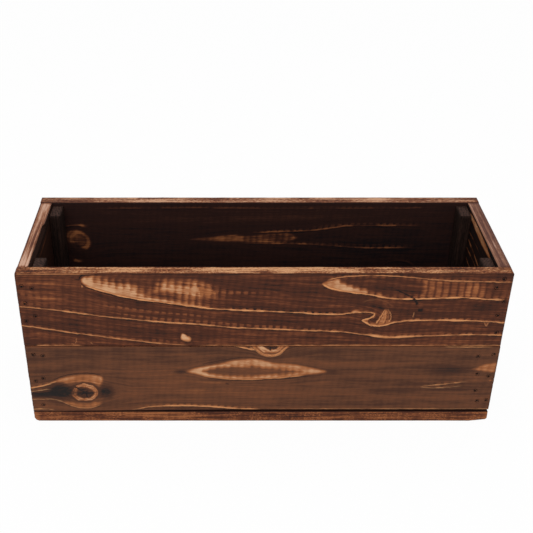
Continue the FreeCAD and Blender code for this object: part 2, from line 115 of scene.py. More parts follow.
FRONT_UPPER = face_figure(
    ground=0.06,
    guides=[
        [(0, 131.5), (31.5, 126), (97.5, 114.5), (146, 108), (190, 105), (300, 103), (508, 102)],
        [
            (0, 155.5), (63, 147), (117, 139.5), (192, 132.5), (239.5, 128), (326.5, 124),
            (361.5, 119.5), (391.5, 115.5), (440, 118.5), (508, 118.5)],
        [
            (0, 184), (72, 180), (106, 168.5), (147, 160.5), (196.5, 153), (247.5, 150),
            (310.5, 146), (343, 147), (365, 143), (378, 132), (407, 137.5), (470, 137.5),
            (508, 134.5)],
        [
            (0, 193), (170, 187), (240, 177), (320, 168), (348, 165), (364, 161), (404, 156),
            (508, 157)],
        [(0, 194), (170, 192), (290, 188), (326.5, 188), (360, 192), (431.5, 188), (508, 185)],
    ],
    lenses=[
        (-0.07, [
            (67, 187), (69.5, 191.5), (75, 193.3), (84, 194.3), (107.5, 194.4), (138, 194),
            (168.5, 192.8), (181, 191.2), (189, 187.5), (193, 180), (194, 172), (193, 164),
            (192, 157), (190, 154), (169.5, 157.5), (147, 161), (124.5, 164.3), (106, 168.7),
            (89, 174.2), (79, 177.8), (71.5, 181.5)]),
        (0.14, [
            (178, 190.5), (190, 188), (200, 184), (208, 178), (212, 172), (209, 164), (203, 157),
            (194, 153.5), (186, 156), (182, 172)]),
        (0.42, [
            (196, 185.5), (207, 181), (222, 176), (244, 172.5), (222, 169), (213, 163),
            (204, 156.5), (199, 166)]),
        (-0.02, [
            (313, 184), (317.5, 187), (324.5, 189.6), (331.5, 191.3), (343.5, 192.8),
            (356.5, 193.4), (370, 193.4), (381, 193), (390, 180), (379.5, 166.3), (369, 168.7),
            (358.5, 170.7), (345, 172.8), (332.5, 175.2), (324, 177.2), (318, 180)]),
        (0.36, [
            (356.5, 193.4), (370, 193.4), (381, 193), (394.5, 192), (407, 190.6), (431.5, 188),
            (457.5, 186.4), (483, 185.8), (514, 185), (514, 163.2), (494.5, 163.9), (482, 164.5),
            (469.5, 165.8), (457, 166.4), (426, 165.4), (411.5, 164.7), (397, 164.7), (387, 165.2),
            (379.5, 166.3), (369, 168.7), (358.5, 170.7)]),
        (0.12, [(345, 147.5), (350.5, 152.8), (356, 147.5)]),
        (-0.05, [(178, 194.2), (187, 194.8), (183, 190.8)]),
        (0.26, [
            (371, 134), (374, 139.5), (376.5, 144.5), (378.7, 149), (380.8, 153), (383.4, 150.5),
            (384.8, 146), (384.6, 140), (383.6, 134)]),
        (0.2, [
            (362, 134.8), (368, 131), (376, 130.3), (384, 132.4), (391, 135.4), (388, 138.5),
            (383, 138), (377, 136), (370, 135.2)]),
        (-0.25, [(167.8, 120.5), (171.5, 120.5), (177.5, 114.2), (175, 111.6), (167.8, 113.8)]),
    ],
    cores=[
        (0.88, 4.2, [
            (77.5, 199), (79, 192.5), (83.5, 189.5), (90.5, 187.5), (98.5, 185), (107, 182.5),
            (115, 183), (121, 178.5), (128, 172.5), (135, 171), (140.5, 175), (146, 181),
            (151, 184.5), (158, 184), (166, 182), (174.5, 182.5), (180.5, 184.5), (186.5, 185.5),
            (195, 183.5), (203, 179.5), (215.5, 178.5), (232, 177), (232, 199)]),
        (0.85, 3.0, [
            (127, 175), (137, 174), (145.5, 173), (155.5, 171), (163.5, 168.5), (163.5, 162.8),
            (155.5, 164), (145, 166.2), (135, 168.8)]),
        (0.9, 3.8, [
            (157.5, 170.5), (166, 168.5), (174, 167.5), (184.5, 166.5), (195.5, 165.5), (211, 168),
            (232, 168.5), (232, 150), (208, 153.5), (195, 157), (188.5, 158.7), (174, 161),
            (159.5, 163.7)]),
        (1.15, 1.5, [
            (330, 191), (333, 186.8), (339, 183), (346, 180), (353, 177.8), (359, 176), (365, 174),
            (371, 172), (378, 169.6), (386.5, 168.3), (399, 167.5), (410, 169.5), (417, 174),
            (418, 180.5), (413, 187), (396.5, 191), (377, 191.8), (357, 192), (341.5, 191.3)]),
        (0.8, 4.0, [(480, 187), (514, 186), (514, 167), (486, 168), (482, 174)]),
    ],
    lines_a=[
        (0.72, 1.0, 6, 0, [
            (70, 181), (79, 177.8), (89, 174.2), (106, 168.7), (124.5, 164.3), (147, 161),
            (169.5, 157.5), (196.5, 153.2), (219.5, 151.5), (247.5, 150), (289.5, 148),
            (310.5, 146), (334.5, 146), (343.5, 147.5), (357, 148.5), (366.5, 148), (370, 146.5),
            (369, 143.5), (364.5, 140.5), (358, 138), (363, 134.5), (368, 131.7), (375.5, 131),
            (382, 132), (388.5, 134.5), (397.5, 136.5), (407.5, 137.8), (437.5, 138.2),
            (470, 137.5), (490.5, 136.5), (514, 134.5)]),
        (0.48, 0.58, 0, 6, [
            (-2, 132), (13, 129.5), (31.5, 126), (55.5, 121.5), (79.5, 118), (97.5, 114.5),
            (121.5, 111.5), (146, 108), (174.5, 105.5)]),
    ],
    lines_b=[
        (0.6, 0.78, 0, 0, [
            (-2, 156), (34, 151.5), (63, 147), (86.5, 143), (117, 139.5), (146, 136), (192, 132.5),
            (219.5, 129), (239.5, 128), (261.5, 127), (290.5, 125.5), (326.5, 124), (340, 123),
            (361.5, 119.5), (380, 116), (391.5, 115.5), (414.5, 117.5), (440, 118.5),
            (466.5, 119.5), (493, 119.5), (514, 118.5)]),
        (1.0, 0.12, 5, 12, [
            (356, 160), (360, 162.5), (366.5, 163.8), (374.5, 163.5), (383, 160), (389, 153.5)]),
        (0.42, 0.55, 6, 0, [
            (318, 187.6), (324.5, 189.9), (331.5, 191.6), (343.5, 193), (356.5, 193.6),
            (370, 193.6), (381, 193.2), (394.5, 192.2), (407, 190.8), (431.5, 188.2),
            (457.5, 186.6), (483, 186), (514, 185.2)]),
    ],
    lines_c=[
        (0.9, 0.85, 1, 3, [
            (372.5, 134), (375.5, 140), (377.7, 145), (379.5, 149.5), (380.8, 152.5)]),
        (0.8, 0.55, 1, 3, [(379.5, 134), (381.4, 139), (381.8, 144), (381.6, 149)]),
        (0.7, 0.6, 1, 5, [
            (385.5, 136), (387.2, 140), (387.4, 143), (386.6, 146.5), (384.6, 150.5),
            (382.5, 153)]),
        (1.5, 0.85, 10, 22, [(358, 120.6), (372, 118.2), (386, 116.3), (400, 116.7), (420, 118.3)]),
        (1.7, 0.42, 1, 1, [
            (168.2, 117), (168.4, 113.6), (174.8, 111.9), (177.2, 114), (174.5, 117.2)]),
        (0.5, 0.8, 3, 6, [(12, 105.1), (65, 105.1)]),
        (0.5, 0.75, 30, 0, [(180, 105.1), (514, 105.1)]),
        (0.75, 1.0, 4, 8, [
            (313, 183.5), (318, 180.2), (324, 177.4), (332.5, 175.4), (345, 173), (358.5, 170.9),
            (369, 168.9), (379.5, 166.5), (387, 165.4), (397, 164.9), (411.5, 164.9), (426, 165.6),
            (457, 166.6), (469.5, 166), (482, 164.7), (494.5, 164.1), (504, 163.6)]),
        (0.45, 0.75, 0.5, 1, [(68.2, 182.8), (67.6, 178.8)]),
        (0.28, 0.4, 1, 1, [(411, 148.5), (410.2, 141.5)]),
        (0.3, 0.35, 1, 1, [(485, 137), (488.5, 130.5), (490.5, 136.5)]),
        (0.3, 0.35, 1, 1, [(56.5, 115), (55, 107.5)]),
        (0.35, 0.5, 1, 1, [(71, 109.5), (73.5, 107)]),
        # Pale line along the top arris at the left: a painted highlight.
        (0.45, 0.42, 3, 50, [(1, 195.2), (60, 195.2), (115, 195.3)]),
    ],
    ticks_a=[
        (1.5, 0.95, 12, 25, [(81.5, 158.5), (136, 149.5), (177.5, 145), (210, 141.5)]),
        (2.2, 0.75, 1, 25, [(3, 171), (23.5, 168), (58, 161.5)]),
        (1.1, 0.7, 8, 4, [(130, 114), (153.5, 111), (172.5, 108)]),
        (2.4, 0.85, 3, 40, [(203, 173.5), (235, 172.5), (275, 172)]),
    ],
    ticks_b=[
        (1.4, 0.95, 15, 20, [(92, 148.5), (135.5, 141.5), (194.5, 136.5), (245, 131), (300, 129)]),
        (1.6, 0.75, 1, 25, [(3, 161), (43, 155)]),
        (0.9, 0.5, 8, 8, [(79, 127), (99, 122.5)]),
    ],
    knots=[(377, 152, 8, 8, 0.12)],
    cracks=[
        (0.7, 1.0, 6, 1, [(386, 178), (393, 174.5), (402, 169.8), (408, 166.5)]),
        (1.4, 1.0, 1.5, 0.5, [(404.5, 168), (409, 165), (411.5, 161.5), (413, 157.5)]),
        (2.6, 1.0, 0.1, 0.1, [(414.6, 151), (419.4, 151)]),
        (0.5, 0.9, 2, 8, [(60, 188.8), (65.8, 188.5), (67, 192.5), (74, 194.6), (90, 195)]),
        (0.4, 0.7, 4, 20, [
            (66.6, 185), (70, 180.6), (78, 176.6), (89, 172.8), (106, 167.2), (147, 159.4),
            (196.5, 151.8)]),
        (0.4, 0.55, 15, 15, [(322, 191), (343, 194.6), (370, 195), (400, 193.4), (430, 190.2)]),
        # Dark line along the top arris from 60 mm on: painted shade under the rim's edge.
        (0.6, 0.5, 60, 5, [(60, 195.4), (300, 195.4), (504, 195.4)]),
    ],
    tone=[
        (30, 180, 42, 22, -0.17), (42, 140, 40, 7, 0.07), (240, 182, 60, 12, 0.04),
        (300, 160, 60, 16, 0.05), (450, 152, 55, 9, 0.0), (60, 113, 60, 8, -0.1),
        (372, 156, 8, 5, 0.12), (485, 150, 16, 9, 0.1), (230, 142, 80, 8, 0.03),
        (330, 134, 50, 6, -0.06), (455, 128, 40, 6, -0.1), (140, 125, 60, 6, 0.04),
        (369, 140, 5, 3.5, 0.2), (300, 108, 140, 4, -0.1), (450, 109, 50, 4, -0.16),
        (260, 111, 80, 5, -0.09), (378, 182, 32, 7, 0.14), (130, 180, 70, 10, 0.02),
        (158, 172, 22, 7, 0.4), (205, 172, 14, 12, 0.16), (100, 175, 22, 6, -0.1),
        (330, 178, 12, 5, -0.1)],
    soot=[(484, 154, 12, 5, 0.5), (371, 154, 4, 4, 0.12)],
    rim=[
        (20, 40, 0.1), (140, 40, -0.06), (215, 25, -0.22), (290, 50, -0.18), (470, 70, 0.24),
        (70, 30, 0.05)],
)

FRONT_LOWER = face_figure(
    ground=-0.02,
    guides=[
        [(0, 15), (60, 17), (110, 16.5), (134, 21.5), (183, 22), (236, 17.5), (300, 15), (508, 15)],
        [(0, 29), (58, 24), (110, 30), (508, 32)],
        [(0, 49), (58, 58), (110, 50), (180, 50), (250, 51), (508, 50)],
        [(0, 66), (120, 68), (170, 70), (196, 62.5), (234, 59), (278, 62), (326, 70), (508, 71)],
        [(0, 68), (120, 70), (171, 71), (208, 81.5), (241, 88), (286, 81), (326, 72), (508, 74)],
        [(0, 104), (210, 103.5), (243, 98), (262, 90), (282, 98), (320, 103.5), (508, 104)],
    ],
    lenses=[
        (0.1, [
            (243.5, 107), (246, 100.5), (249.5, 95.8), (255, 92), (261.5, 90.4), (268, 91.2),
            (274.5, 94.8), (279, 100), (281.5, 107)]),
        (0.05, [
            (170.5, 70), (180.5, 75), (195.5, 78.5), (208.5, 81.5), (220, 85.5), (234.5, 87.5),
            (248.5, 87.5), (257.5, 85), (267.5, 82.5), (285, 81), (300, 78), (314.5, 74),
            (325.5, 70.5), (317.5, 67.5), (300.5, 65), (278.5, 62), (257, 60), (234.5, 59),
            (214, 60), (196.5, 62.5), (183.5, 66)]),
        (0.16, [
            (17.5, 52), (28, 58.5), (44, 64), (64, 66.5), (77.5, 64.5), (81, 61), (80, 54.5),
            (76, 48.5), (71.5, 52), (63, 54.5), (49.5, 53.5), (42.5, 50), (35.5, 54), (26.5, 53)]),
        (0.2, [
            (33, 28.2), (42.5, 22.5), (52.5, 19), (65.5, 19), (76, 24), (78, 28), (72, 29),
            (66, 27.8), (58.5, 27.5), (50.5, 28), (40.5, 29)]),
        (0.1, [
            (481, 73.5), (488.5, 77.5), (495.5, 80.5), (514, 82), (514, 69.5), (500.5, 69.5),
            (489.5, 71)]),
        (0.3, [(500.5, 58), (504, 60.5), (514, 60), (514, 56), (504, 54.5)]),
    ],
    cores=[
        (0.92, 1.0, [
            (190.5, 71), (197, 73.6), (205.5, 75.6), (217.5, 76.6), (230.5, 77.2), (243.5, 77.2),
            (254.5, 76), (265, 75), (278.5, 73), (291.5, 71.5), (299, 70), (291.5, 68.5),
            (278.5, 66.8), (265.5, 65.6), (254.5, 64.2), (241.5, 63.8), (226, 63.4), (211, 64.2),
            (199, 66.2)]),
        (0.6, 3.0, [(488, 75), (498, 77), (514, 77), (514, 73), (498, 73)]),
        (0.35, 1.0, [(50, 57), (64, 58.5), (76, 56), (76, 60), (62, 62), (50, 60)]),
    ],
    lines_a=[
        (0.8, 0.9, 12, 12, [
            (110, 16.5), (123, 19), (134, 21.2), (160.5, 22.3), (183, 22), (205, 20.5), (220, 18.8),
            (235.5, 17.5), (255, 17)]),
        (0.7, 0.75, 0, 2, [(-2, 47), (9.5, 49.5), (18.5, 52), (30, 57)]),
        (0.55, 0.8, 3, 3, [(219.5, 106), (231.5, 103), (247, 99)]),
        (0.45, 0.6, 4, 18, [(428, 48.6), (435, 50.5), (451.5, 52.5), (468.5, 55), (480, 57)]),
        (0.6, 0.35, 4, 4, [
            (243.5, 105), (249.5, 95.9), (255, 92.2), (261.5, 90.6), (268, 91.4), (274.5, 95),
            (281.5, 105)]),
        (1.1, 0.75, 3, 3, [
            (247.5, 101.5), (251.5, 96.6), (256, 93.6), (262, 92.3), (268, 93.2), (273, 96.4),
            (277, 101), (279.5, 104)]),
        (0.5, 0.55, 8, 8, [
            (186, 65.6), (196.5, 62.6), (214, 60.2), (234.5, 59.2), (257, 60.2), (278.5, 62.2),
            (300, 65.2)]),
    ],
    lines_b=[
        (0.4, 0.5, 0, 5, [(-2, 42), (11, 44), (23, 46)]),
        (0.45, 0.5, 4, 20, [(428, 48.6), (437.5, 47.6), (449, 47.6), (475, 50.5)]),
        (0.5, 0.45, 5, 5, [(33, 28), (42.5, 22.7), (52.5, 19.4), (65.5, 19.4), (76, 24)]),
    ],
    lines_c=[
        (0.4, 0.55, 0, 4, [(-2, 31.5), (13.5, 31.5), (23, 31.5), (36, 27.5)]),
        (0.45, 0.55, 8, 8, [(448, 103.6), (500, 103.6)]),
        (0.5, 0.4, 60, 0, [(250, 16.9), (300, 17.6), (514, 17.6)]),
        (0.7, 0.5, 1, 5, [(-2, 17), (14, 17.5), (24, 16)]),
    ],
    ticks_a=[
        (0.8, 0.5, 10, 20, [
            (120, 20.5), (134, 23), (160.5, 24.3), (183, 24), (205, 22.4), (250, 19.5)]),
        (1.6, 0.2, 20, 20, [(180, 46), (260, 45), (330, 46)]),
    ],
    knots=[(59.5, 40.8, 14.4, 12.6, 1.0), (263.2, 108.0, 14.0, 13.2, 0.9)],
    cracks=[
        (0.75, 1.0, 1, 1, [(49, 49.5), (54, 45.2), (58.5, 42.3), (61, 40.5), (61.5, 34)]),
        (0.7, 0.9, 1, 1, [(55, 38.2), (59, 41), (63.5, 44)]),
        (0.8, 1.0, 1, 2, [(262.6, 107), (262.4, 98)]),
        (0.5, 0.6, 1, 2, [(256, 104.2), (269, 104.2)]),
        (0.7, 0.6, 2, 2, [(214, 54), (219, 52.8)]),
        (0.4, 0.6, 10, 10, [(200, 60.4), (234.5, 57.6), (278.5, 60.6), (310, 65)]),
        (0.4, 0.5, 15, 15, [(185, 79.5), (218, 87), (238, 89.7), (262, 86)]),
        (0.4, 0.6, 6, 6, [(24, 57.5), (42, 65.5), (64, 68.2), (80, 65.5)]),
    ],
    tone=[
        (150, 55, 120, 26, -0.05), (250, 95, 160, 8, 0.07), (375, 88, 70, 10, 0.06),
        (455, 72, 16, 9, 0.24), (30, 85, 60, 14, 0.06), (385, 48, 60, 16, 0.07),
        (300, 42, 60, 10, -0.05), (490, 30, 40, 12, -0.03), (190, 45, 50, 12, -0.06),
        (20, 60, 14, 6, 0.06), (95, 60, 10, 14, 0.08)],
    soot=[
        (33, 43, 12.5, 9.0, 1.7), (10, 38.5, 16, 4.2, 1.2), (83, 42, 7.0, 8.0, 1.15),
        (166, 69.8, 6, 2.3, 0.8), (461, 72, 15, 5, 0.5), (200, 58.5, 18, 1.8, 0.3),
        (330, 70.5, 6, 2, 0.4), (460, 45.5, 30, 2.5, 0.4), (440, 78, 30, 6, 0.2)],
)

BACK_INSIDE = face_figure(
    ground=0.0,
    guides=[
        [(0, 118), (40, 112), (80, 118), (508, 112)],
        [(0, 140), (170, 145), (232, 141.5), (330, 139), (380, 135), (508, 135.5)],
        [
            (0, 148), (170, 147), (232, 155), (273, 155.5), (320, 159), (350, 163), (396, 165.5),
            (508, 166)],
        [(0, 188), (185, 189), (300, 188), (508, 189)],
    ],
    lenses=[
        (0.22, [
            (24, 150), (28, 158), (39, 160.5), (48, 156.5), (54.5, 149), (55.5, 139), (49, 132),
            (43, 134), (36.5, 140), (27, 142)]),
        (0.2, [
            (170, 146.5), (202.5, 151.5), (222, 154.5), (240, 152.5), (262, 155), (285, 156.5),
            (296, 153), (300, 148.5), (290, 143), (268, 141), (226, 142.5), (196.5, 143.8)]),
    ],
    cores=[
        (0.5, 4.0, [
            (236, 149), (250, 151), (268, 152.5), (284, 151.5), (294, 148.5), (280, 146),
            (262, 146), (246, 146.5)]),
    ],
    lines_a=[
        (0.9, 0.7, 10, 30, [
            (243.5, 156), (285, 157.5), (317, 159), (338, 162), (357.5, 165), (396.5, 165.5),
            (450, 165.5)]),
        (0.7, 0.42, 20, 30, [(60, 188), (185, 189), (301.5, 188), (470, 189)]),
    ],
    lines_b=[
        (1.0, 0.7, 10, 20, [
            (232, 141.5), (267.5, 141), (307.5, 140.5), (347, 137.5), (380.5, 135), (440, 135.5)]),
    ],
    lines_c=[
        (1.0, 0.45, 8, 8, [
            (401.5, 109.5), (410.5, 115.5), (422.5, 117.5), (434.5, 115.5), (442.5, 109.5)]),
        (2.2, 0.9, 4, 8, [(24, 164.5), (40, 166), (54, 164)]),
        (2.6, 0.8, 4, 8, [(30, 119), (38, 116.5), (46, 117)]),
    ],
    ticks_a=[(1.4, 0.6, 30, 30, [(300, 161), (357.5, 167.5), (450, 168)])],
    ticks_b=[(1.2, 0.5, 30, 30, [(250, 144), (347, 140), (440, 138)])],
    knots=[(42, 144.5, 12, 15, 0.25)],
    # Lighter band along the top of the inside face, darker lower down: painted light and shade of
    # the box's hollow.
    tone=[(250, 178, 200, 14, -0.18), (420, 130, 90, 30, 0.14), (120, 130, 60, 20, 0.05)],
    rim=[(110, 40, -0.12), (370, 40, -0.14), (220, 50, -0.04), (470, 30, -0.05), (420, 20, 0.05)],
)

RIGHT_INSIDE = face_figure(
    ground=-0.04,
    guides=[
        [(0, 138), (168, 138)],
        [(0, 160), (168, 161)],
        [(0, 186), (168, 187)],
    ],
    lenses=[
        (0.02, [
            (36, 187), (58, 184), (85, 183), (108, 184.5), (128, 186.5), (144, 189.5), (128, 193.5),
            (106, 194.3), (82, 193.8), (56, 192.5)]),
    ],
    lines_a=[
        (1.1, 0.9, 10, 12, [(140, 162), (132.5, 161.5), (106.5, 160.5), (85, 157.5), (60, 157)]),
        (0.8, 0.7, 8, 12, [(132, 139), (112, 137), (80, 136)]),
    ],
    lines_b=[(1.0, 0.8, 8, 12, [(138, 150), (105.5, 150.5), (90.5, 150.5), (60, 149)])],
    lines_c=[(0.9, 0.7, 8, 12, [(136, 171), (100, 172), (60, 171)])],
    ticks_a=[(1.6, 0.5, 10, 10, [(50, 178), (120, 179)])],
    tone=[(90, 150, 60, 30, -0.06)],
    rim=[(84, 80, 0.06)],
)

LEFT_INSIDE = face_figure(
    ground=-0.35,
    guides=[
        [(0, 138), (168, 138)],
        [(0, 186), (168, 187)],
    ],
    lines_a=[
        (1.3, 0.35, 8, 12, [(30, 176), (70, 178), (120, 180)]),
        (1.1, 0.3, 8, 8, [(30, 160), (80, 160)]),
    ],
    lines_b=[(1.2, 0.3, 8, 12, [(28, 152), (60, 150), (110, 150)])],
    cracks=[(0.9, 0.8, 10, 10, [(20, 184), (90, 186), (150, 187)])],
    tone=[(60, 170, 60, 12, -0.1)],
    rim=[(20, 30, 0.1), (130, 30, -0.05)],
)

# Axes of a board: along, across, through; and which way its outer face looks.
LYING = {"front": (0, 2, 1, -1), "back": (0, 2, 1, 1), "left": (1, 2, 0, -1), "right": (1, 2, 0, 1),
         "under": (0, 1, 2, -1), "post_left": (2, 1, 0, -1), "post_right": (2, 1, 0, 1)}

# Finish of each side of a board, in the order of the sides in its section.
# Inside faces get a finish that is partly char and partly painted shade of the box's hollow.
LONG_WALL = {"face": "Torched Face", "rim": "Planed Rim", "inside": "Smoked Inside",
             "foot": "Sawn Edge 0.78", "ends": "Sawn End YZ"}
# The lower front face carries a painted grey-blue sheen over its burnt colour.
LOWER_FRONT = {**LONG_WALL, "face": "Torched Olive Face"}
BACK_WALL = {**LONG_WALL, "rim": "Back Rim"}
END_WALL = {**LONG_WALL, "rim": "Weathered Rim", "inside": "Smoked End", "ends": "Sawn End XZ"}
RIGHT_END = {**END_WALL, "rim": "Greyed Rim"}
BASE = {**LONG_WALL, "rim": "Sawn Edge 0.62", "foot": "Sawn Edge 0.62"}
POST = {**dict.fromkeys(LONG_WALL, "Post Side"), "ends": "Post Top"}

# How a board lies, its outer and inner figure (made up where there is none), its seed, the
# darkness of its edges, its finishes, and shares of the unevenness of its ends and of its arris.
Board = namedtuple("Board", "lie outer inner seed rim_tone finishes ragged arris",
                   defaults=(1.0, 1.0))
LONG_BOARDS = {
    "front_board_upper": Board("front", FRONT_UPPER, None, 11, 0.0, LONG_WALL),
    "front_board_lower": Board("front", FRONT_LOWER, None, 12, 0.3, LOWER_FRONT, arris=0.5),
    "back_board_upper": Board("back", None, BACK_INSIDE, 13, 0.12, BACK_WALL),
    "back_board_lower": Board("back", None, BACK_INSIDE, 14, 0.3, BACK_WALL),
}
END_BOARDS = {
    "left_end_board_upper": Board("left", None, LEFT_INSIDE, 21, -0.04, END_WALL, ragged=0.1),
    "left_end_board_lower": Board("left", None, None, 22, 0.3, END_WALL, ragged=0.1),
    "right_end_board_upper": Board("right", None, RIGHT_INSIDE, 23, 0.18, RIGHT_END, ragged=0.1),
    "right_end_board_lower": Board("right", None, None, 24, 0.3, END_WALL, ragged=0.1),
}
BASE_BOARDS = {
    "base_board_front": Board("under", None, None, 31, 0.0, BASE, arris=0.5),
    "base_board_back": Board("under", None, None, 32, 0.0, BASE, arris=0.5),
}
POSTS = {
    "post_front_left": Board("post_left", None, None, 41, 0.2, POST),
    "post_front_right": Board("post_right", None, None, 42, 0.2, POST),
    "post_back_left": Board("post_left", None, None, 43, 0.2, POST),
    "post_back_right": Board("post_right", None, None, 44, 0.2, POST),
}
BRADS = ["brads_front_left", "brads_front_right", "brads_back_left", "brads_back_right",
         "brads_left_end", "brads_right_end", "brads_base"]

# Where a board is not a plain bar: (distance along, loss) at its foot, its head or its underside.
FOOT_LOSS = {"front_board_lower": [(0, 0), (230, 2.6), (508, 2.6)]}
HEAD_LOSS = {"front_board_upper": [(0, 0), (506.5, 0), (507.2, 0.2), (507.7, 0.6), (508, 1.5)]}
UNDERSIDE_LOSS = {"base_board_front": [(0, 5), (1.5, 1.6), (5, 0), (488, 0), (506.5, 2.3),
                                       (508, 3.9)]}


# ------------------------------------------------------------------ settings
def setting(name, description, value, **kind):
    return bpy.props.FloatProperty(name=name, description=description, default=value, **kind)


def length_setting(name, description, millimetres):
    return setting(name, description, millimetres * MM, unit="LENGTH", precision=5)


def colour_setting(name, description, colour):
    return bpy.props.FloatVectorProperty(name=name, description=description, default=colour,
                                         size=3, subtype="COLOR", min=0.0, max=1.0)


class WindowBoxSizes(bpy.types.PropertyGroup):
    """Sizes of the worked surface of the boards."""

    face_step: length_setting("Face step", "Mesh spacing on the front faces", 1.25)
    hidden_step: length_setting("Hidden step", "Mesh spacing on the other faces", 1.5)
    arris: length_setting("Arris", "Rounding of the boards' edges", 0.85)
    end_arris: length_setting("End arris", "Rounding round a sawn end", 0.22)
    chatter_pitch: length_setting("Chatter pitch", "Spacing of the planer's marks", 7.55)
    chatter_depth: length_setting("Chatter depth", "Depth of the planer's marks", 0.02)
    grain_depth: length_setting("Grain depth", "Depth of the brushed-out early wood", 0.03)
    ragged_end: length_setting("Ragged end", "Unevenness of a sawn end", 0.5)
    wavering_edge: length_setting("Wavering edge", "Unevenness of a long edge", 0.28)
    pit_radius: length_setting("Pit radius", "Radius of the hole over a sunk brad", 0.95)
    pit_depth: length_setting("Pit depth", "Depth of the hole over a sunk brad", 1.7)


class WindowBoxColours(bpy.types.PropertyGroup):
    """Colours of scorched softwood, from spared to charred."""

    spared: colour_setting("Spared wood", "Wood the flame hardly touched", (0.60, 0.335, 0.180))
    toasted: colour_setting("Toasted wood", "Edge of a spared patch", (0.335, 0.114, 0.038))
    browned: colour_setting("Browned wood", "Lightly scorched wood", (0.138, 0.0400, 0.0160))
    burnt: colour_setting("Burnt wood", "Fully scorched face", (0.062, 0.0185, 0.0092))
    charred: colour_setting("Charred wood", "Cracks, knots and soot", (0.014, 0.0085, 0.0070))
    bright_line: colour_setting("Bright line", "Hard grain that stays light", (0.65, 0.282, 0.110))
    rim_pale: colour_setting("Rim", "Planed top edges", (0.62, 0.318, 0.152))
    end_grain: colour_setting("End grain", "Sawn ends", (0.105, 0.045, 0.027))
    post_wood: colour_setting("Post wood", "Corner posts", (0.040, 0.0190, 0.0135))
    brad_steel: colour_setting("Brad steel", "Heat-darkened brads", (0.008, 0.0065, 0.006))
    gloss: setting("Gloss", "Specular level of the wood", 0.12, subtype="FACTOR", min=0.0, max=1.0)


class WindowBoxStudio(bpy.types.PropertyGroup):
    """Camera, floor and lamps."""

    eye: bpy.props.FloatVectorProperty(
        name="Eye", description="Place of the camera", default=(-0.0389, -0.8718, 0.6911), size=3,
        subtype="XYZ", unit="LENGTH")
    pitch: setting("Pitch", "Camera's angle below the horizon", math.radians(31.71),
                   subtype="ANGLE")
    lens: setting("Lens", "Focal length in millimetres", 61.99)
    shift: setting("Shift", "Sideways shift of the view", 0.0759)
    floor_size: length_setting("Floor size", "Side of the square floor", 6000.0)
    sky: setting("Sky", "Strength of the even light all round", 0.62)
    key_power: setting("Key", "Power of the large front lamp in watts", 16.0)
    top_power: setting("Top", "Power of the overhead lamp in watts", 6.0)


# ------------------------------------------------------------------ curves and fields on a face
def smooth_curve(points, closed=False, cuts=3):
    """A rounded line through given points."""
    marks = np.asarray(points, float)
    if closed:
        ring = np.vstack([marks[-1:], marks, marks[:2]])
    else:
        ring = np.vstack([2 * marks[0] - marks[1], marks, 2 * marks[-1] - marks[-2]])
    s = np.linspace(0, 1, cuts, endpoint=False)[:, None]
    runs = []
    for before, start, stop, after in zip(ring, ring[1:], ring[2:], ring[3:]):
        square = (2 * before - 5 * start + 4 * stop - after) * s ** 2
        cube = (3 * start - before - 3 * stop + after) * s ** 3
        runs.append(0.5 * (2 * start + (stop - before) * s + square + cube))
    curve = np.vstack(runs)
    return curve if closed else np.vstack([curve, marks[-1:]])


def near_curve(curve, at, reach):
    low, high = curve.min(axis=0) - reach, curve.max(axis=0) + reach
    return np.all((at > low) & (at < high), axis=1)


def offset_from(curve, at):
    """Signed distance from a line, positive on its left, and the nearest place's run along it."""
    edges = np.diff(curve, axis=0)
    spans = np.maximum(np.hypot(*edges.T), 1e-9)
    normals = np.stack([-edges[:, 1], edges[:, 0]], axis=1) / spans[:, None]
    corners = np.vstack([normals[:1], normals[:-1] + normals[1:], normals[-1:]])
    best = np.full(len(at), 1e9)
    side = np.ones(len(at))
    run = np.zeros(len(at))
    passed = 0.0
    for i, (start, edge, span) in enumerate(zip(curve, edges, spans)):
        out = at - start
        share = (out @ edge) / span ** 2
        gap = out - np.clip(share, 0, 1)[:, None] * edge
        distance = np.hypot(gap[:, 0], gap[:, 1])
        facing = np.where(share <= 0, gap @ corners[i],
                          np.where(share >= 1, gap @ corners[i + 1], gap @ normals[i]))
        closer = distance < best
        best = np.where(closer, distance, best)
        side = np.where(closer, np.where(facing < 0, -1.0, 1.0), side)
        run = np.where(closer, passed + np.clip(share, 0, 1) * span, run)
        passed += span
    return best * side, run, passed


def depth_inside(outline, at):
    """Distance to a closed outline, positive inside it."""
    ring = np.vstack([outline, outline[:1]])
    gap, _, _ = offset_from(ring, at)
    inside = np.zeros(len(at), bool)
    for (x0, y0), (x1, y1) in zip(ring, ring[1:]):
        if y0 == y1:
            continue
        crossing = x0 + (at[:, 1] - y0) * (x1 - x0) / (y1 - y0)
        inside ^= ((at[:, 1] > min(y0, y1)) & (at[:, 1] <= max(y0, y1)) & (at[:, 0] < crossing))
    return np.where(inside, np.abs(gap), -np.abs(gap))


def stroke_field(strokes, at):
    """Offset, half width and strength of the nearest stroke."""
    field = np.zeros((len(at), 3))
    field[:, 0] = REACH
    for half, strength, fade_in, fade_out, points in strokes:
        curve = smooth_curve(points)
        near = near_curve(curve, at, REACH + STROKE_FADE)
        if not near.any():
            continue
        offset, run, length = offset_from(curve, at[near])
        rise = (np.clip(run / max(fade_in, 0.01), 0, 1)
                * np.clip((length - run) / max(fade_out, 0.01), 0, 1))
        level = strength * rise * np.clip((REACH - STROKE_FADE - np.abs(offset)) / 1.5, 0, 1)
        old = field[near]
        closer = np.abs(offset) < np.abs(old[:, 0])
        new = np.stack([np.clip(offset, -REACH, REACH), np.full(len(offset), half), level], axis=1)
        field[near] = np.where(closer[:, None], new, old)
    return field


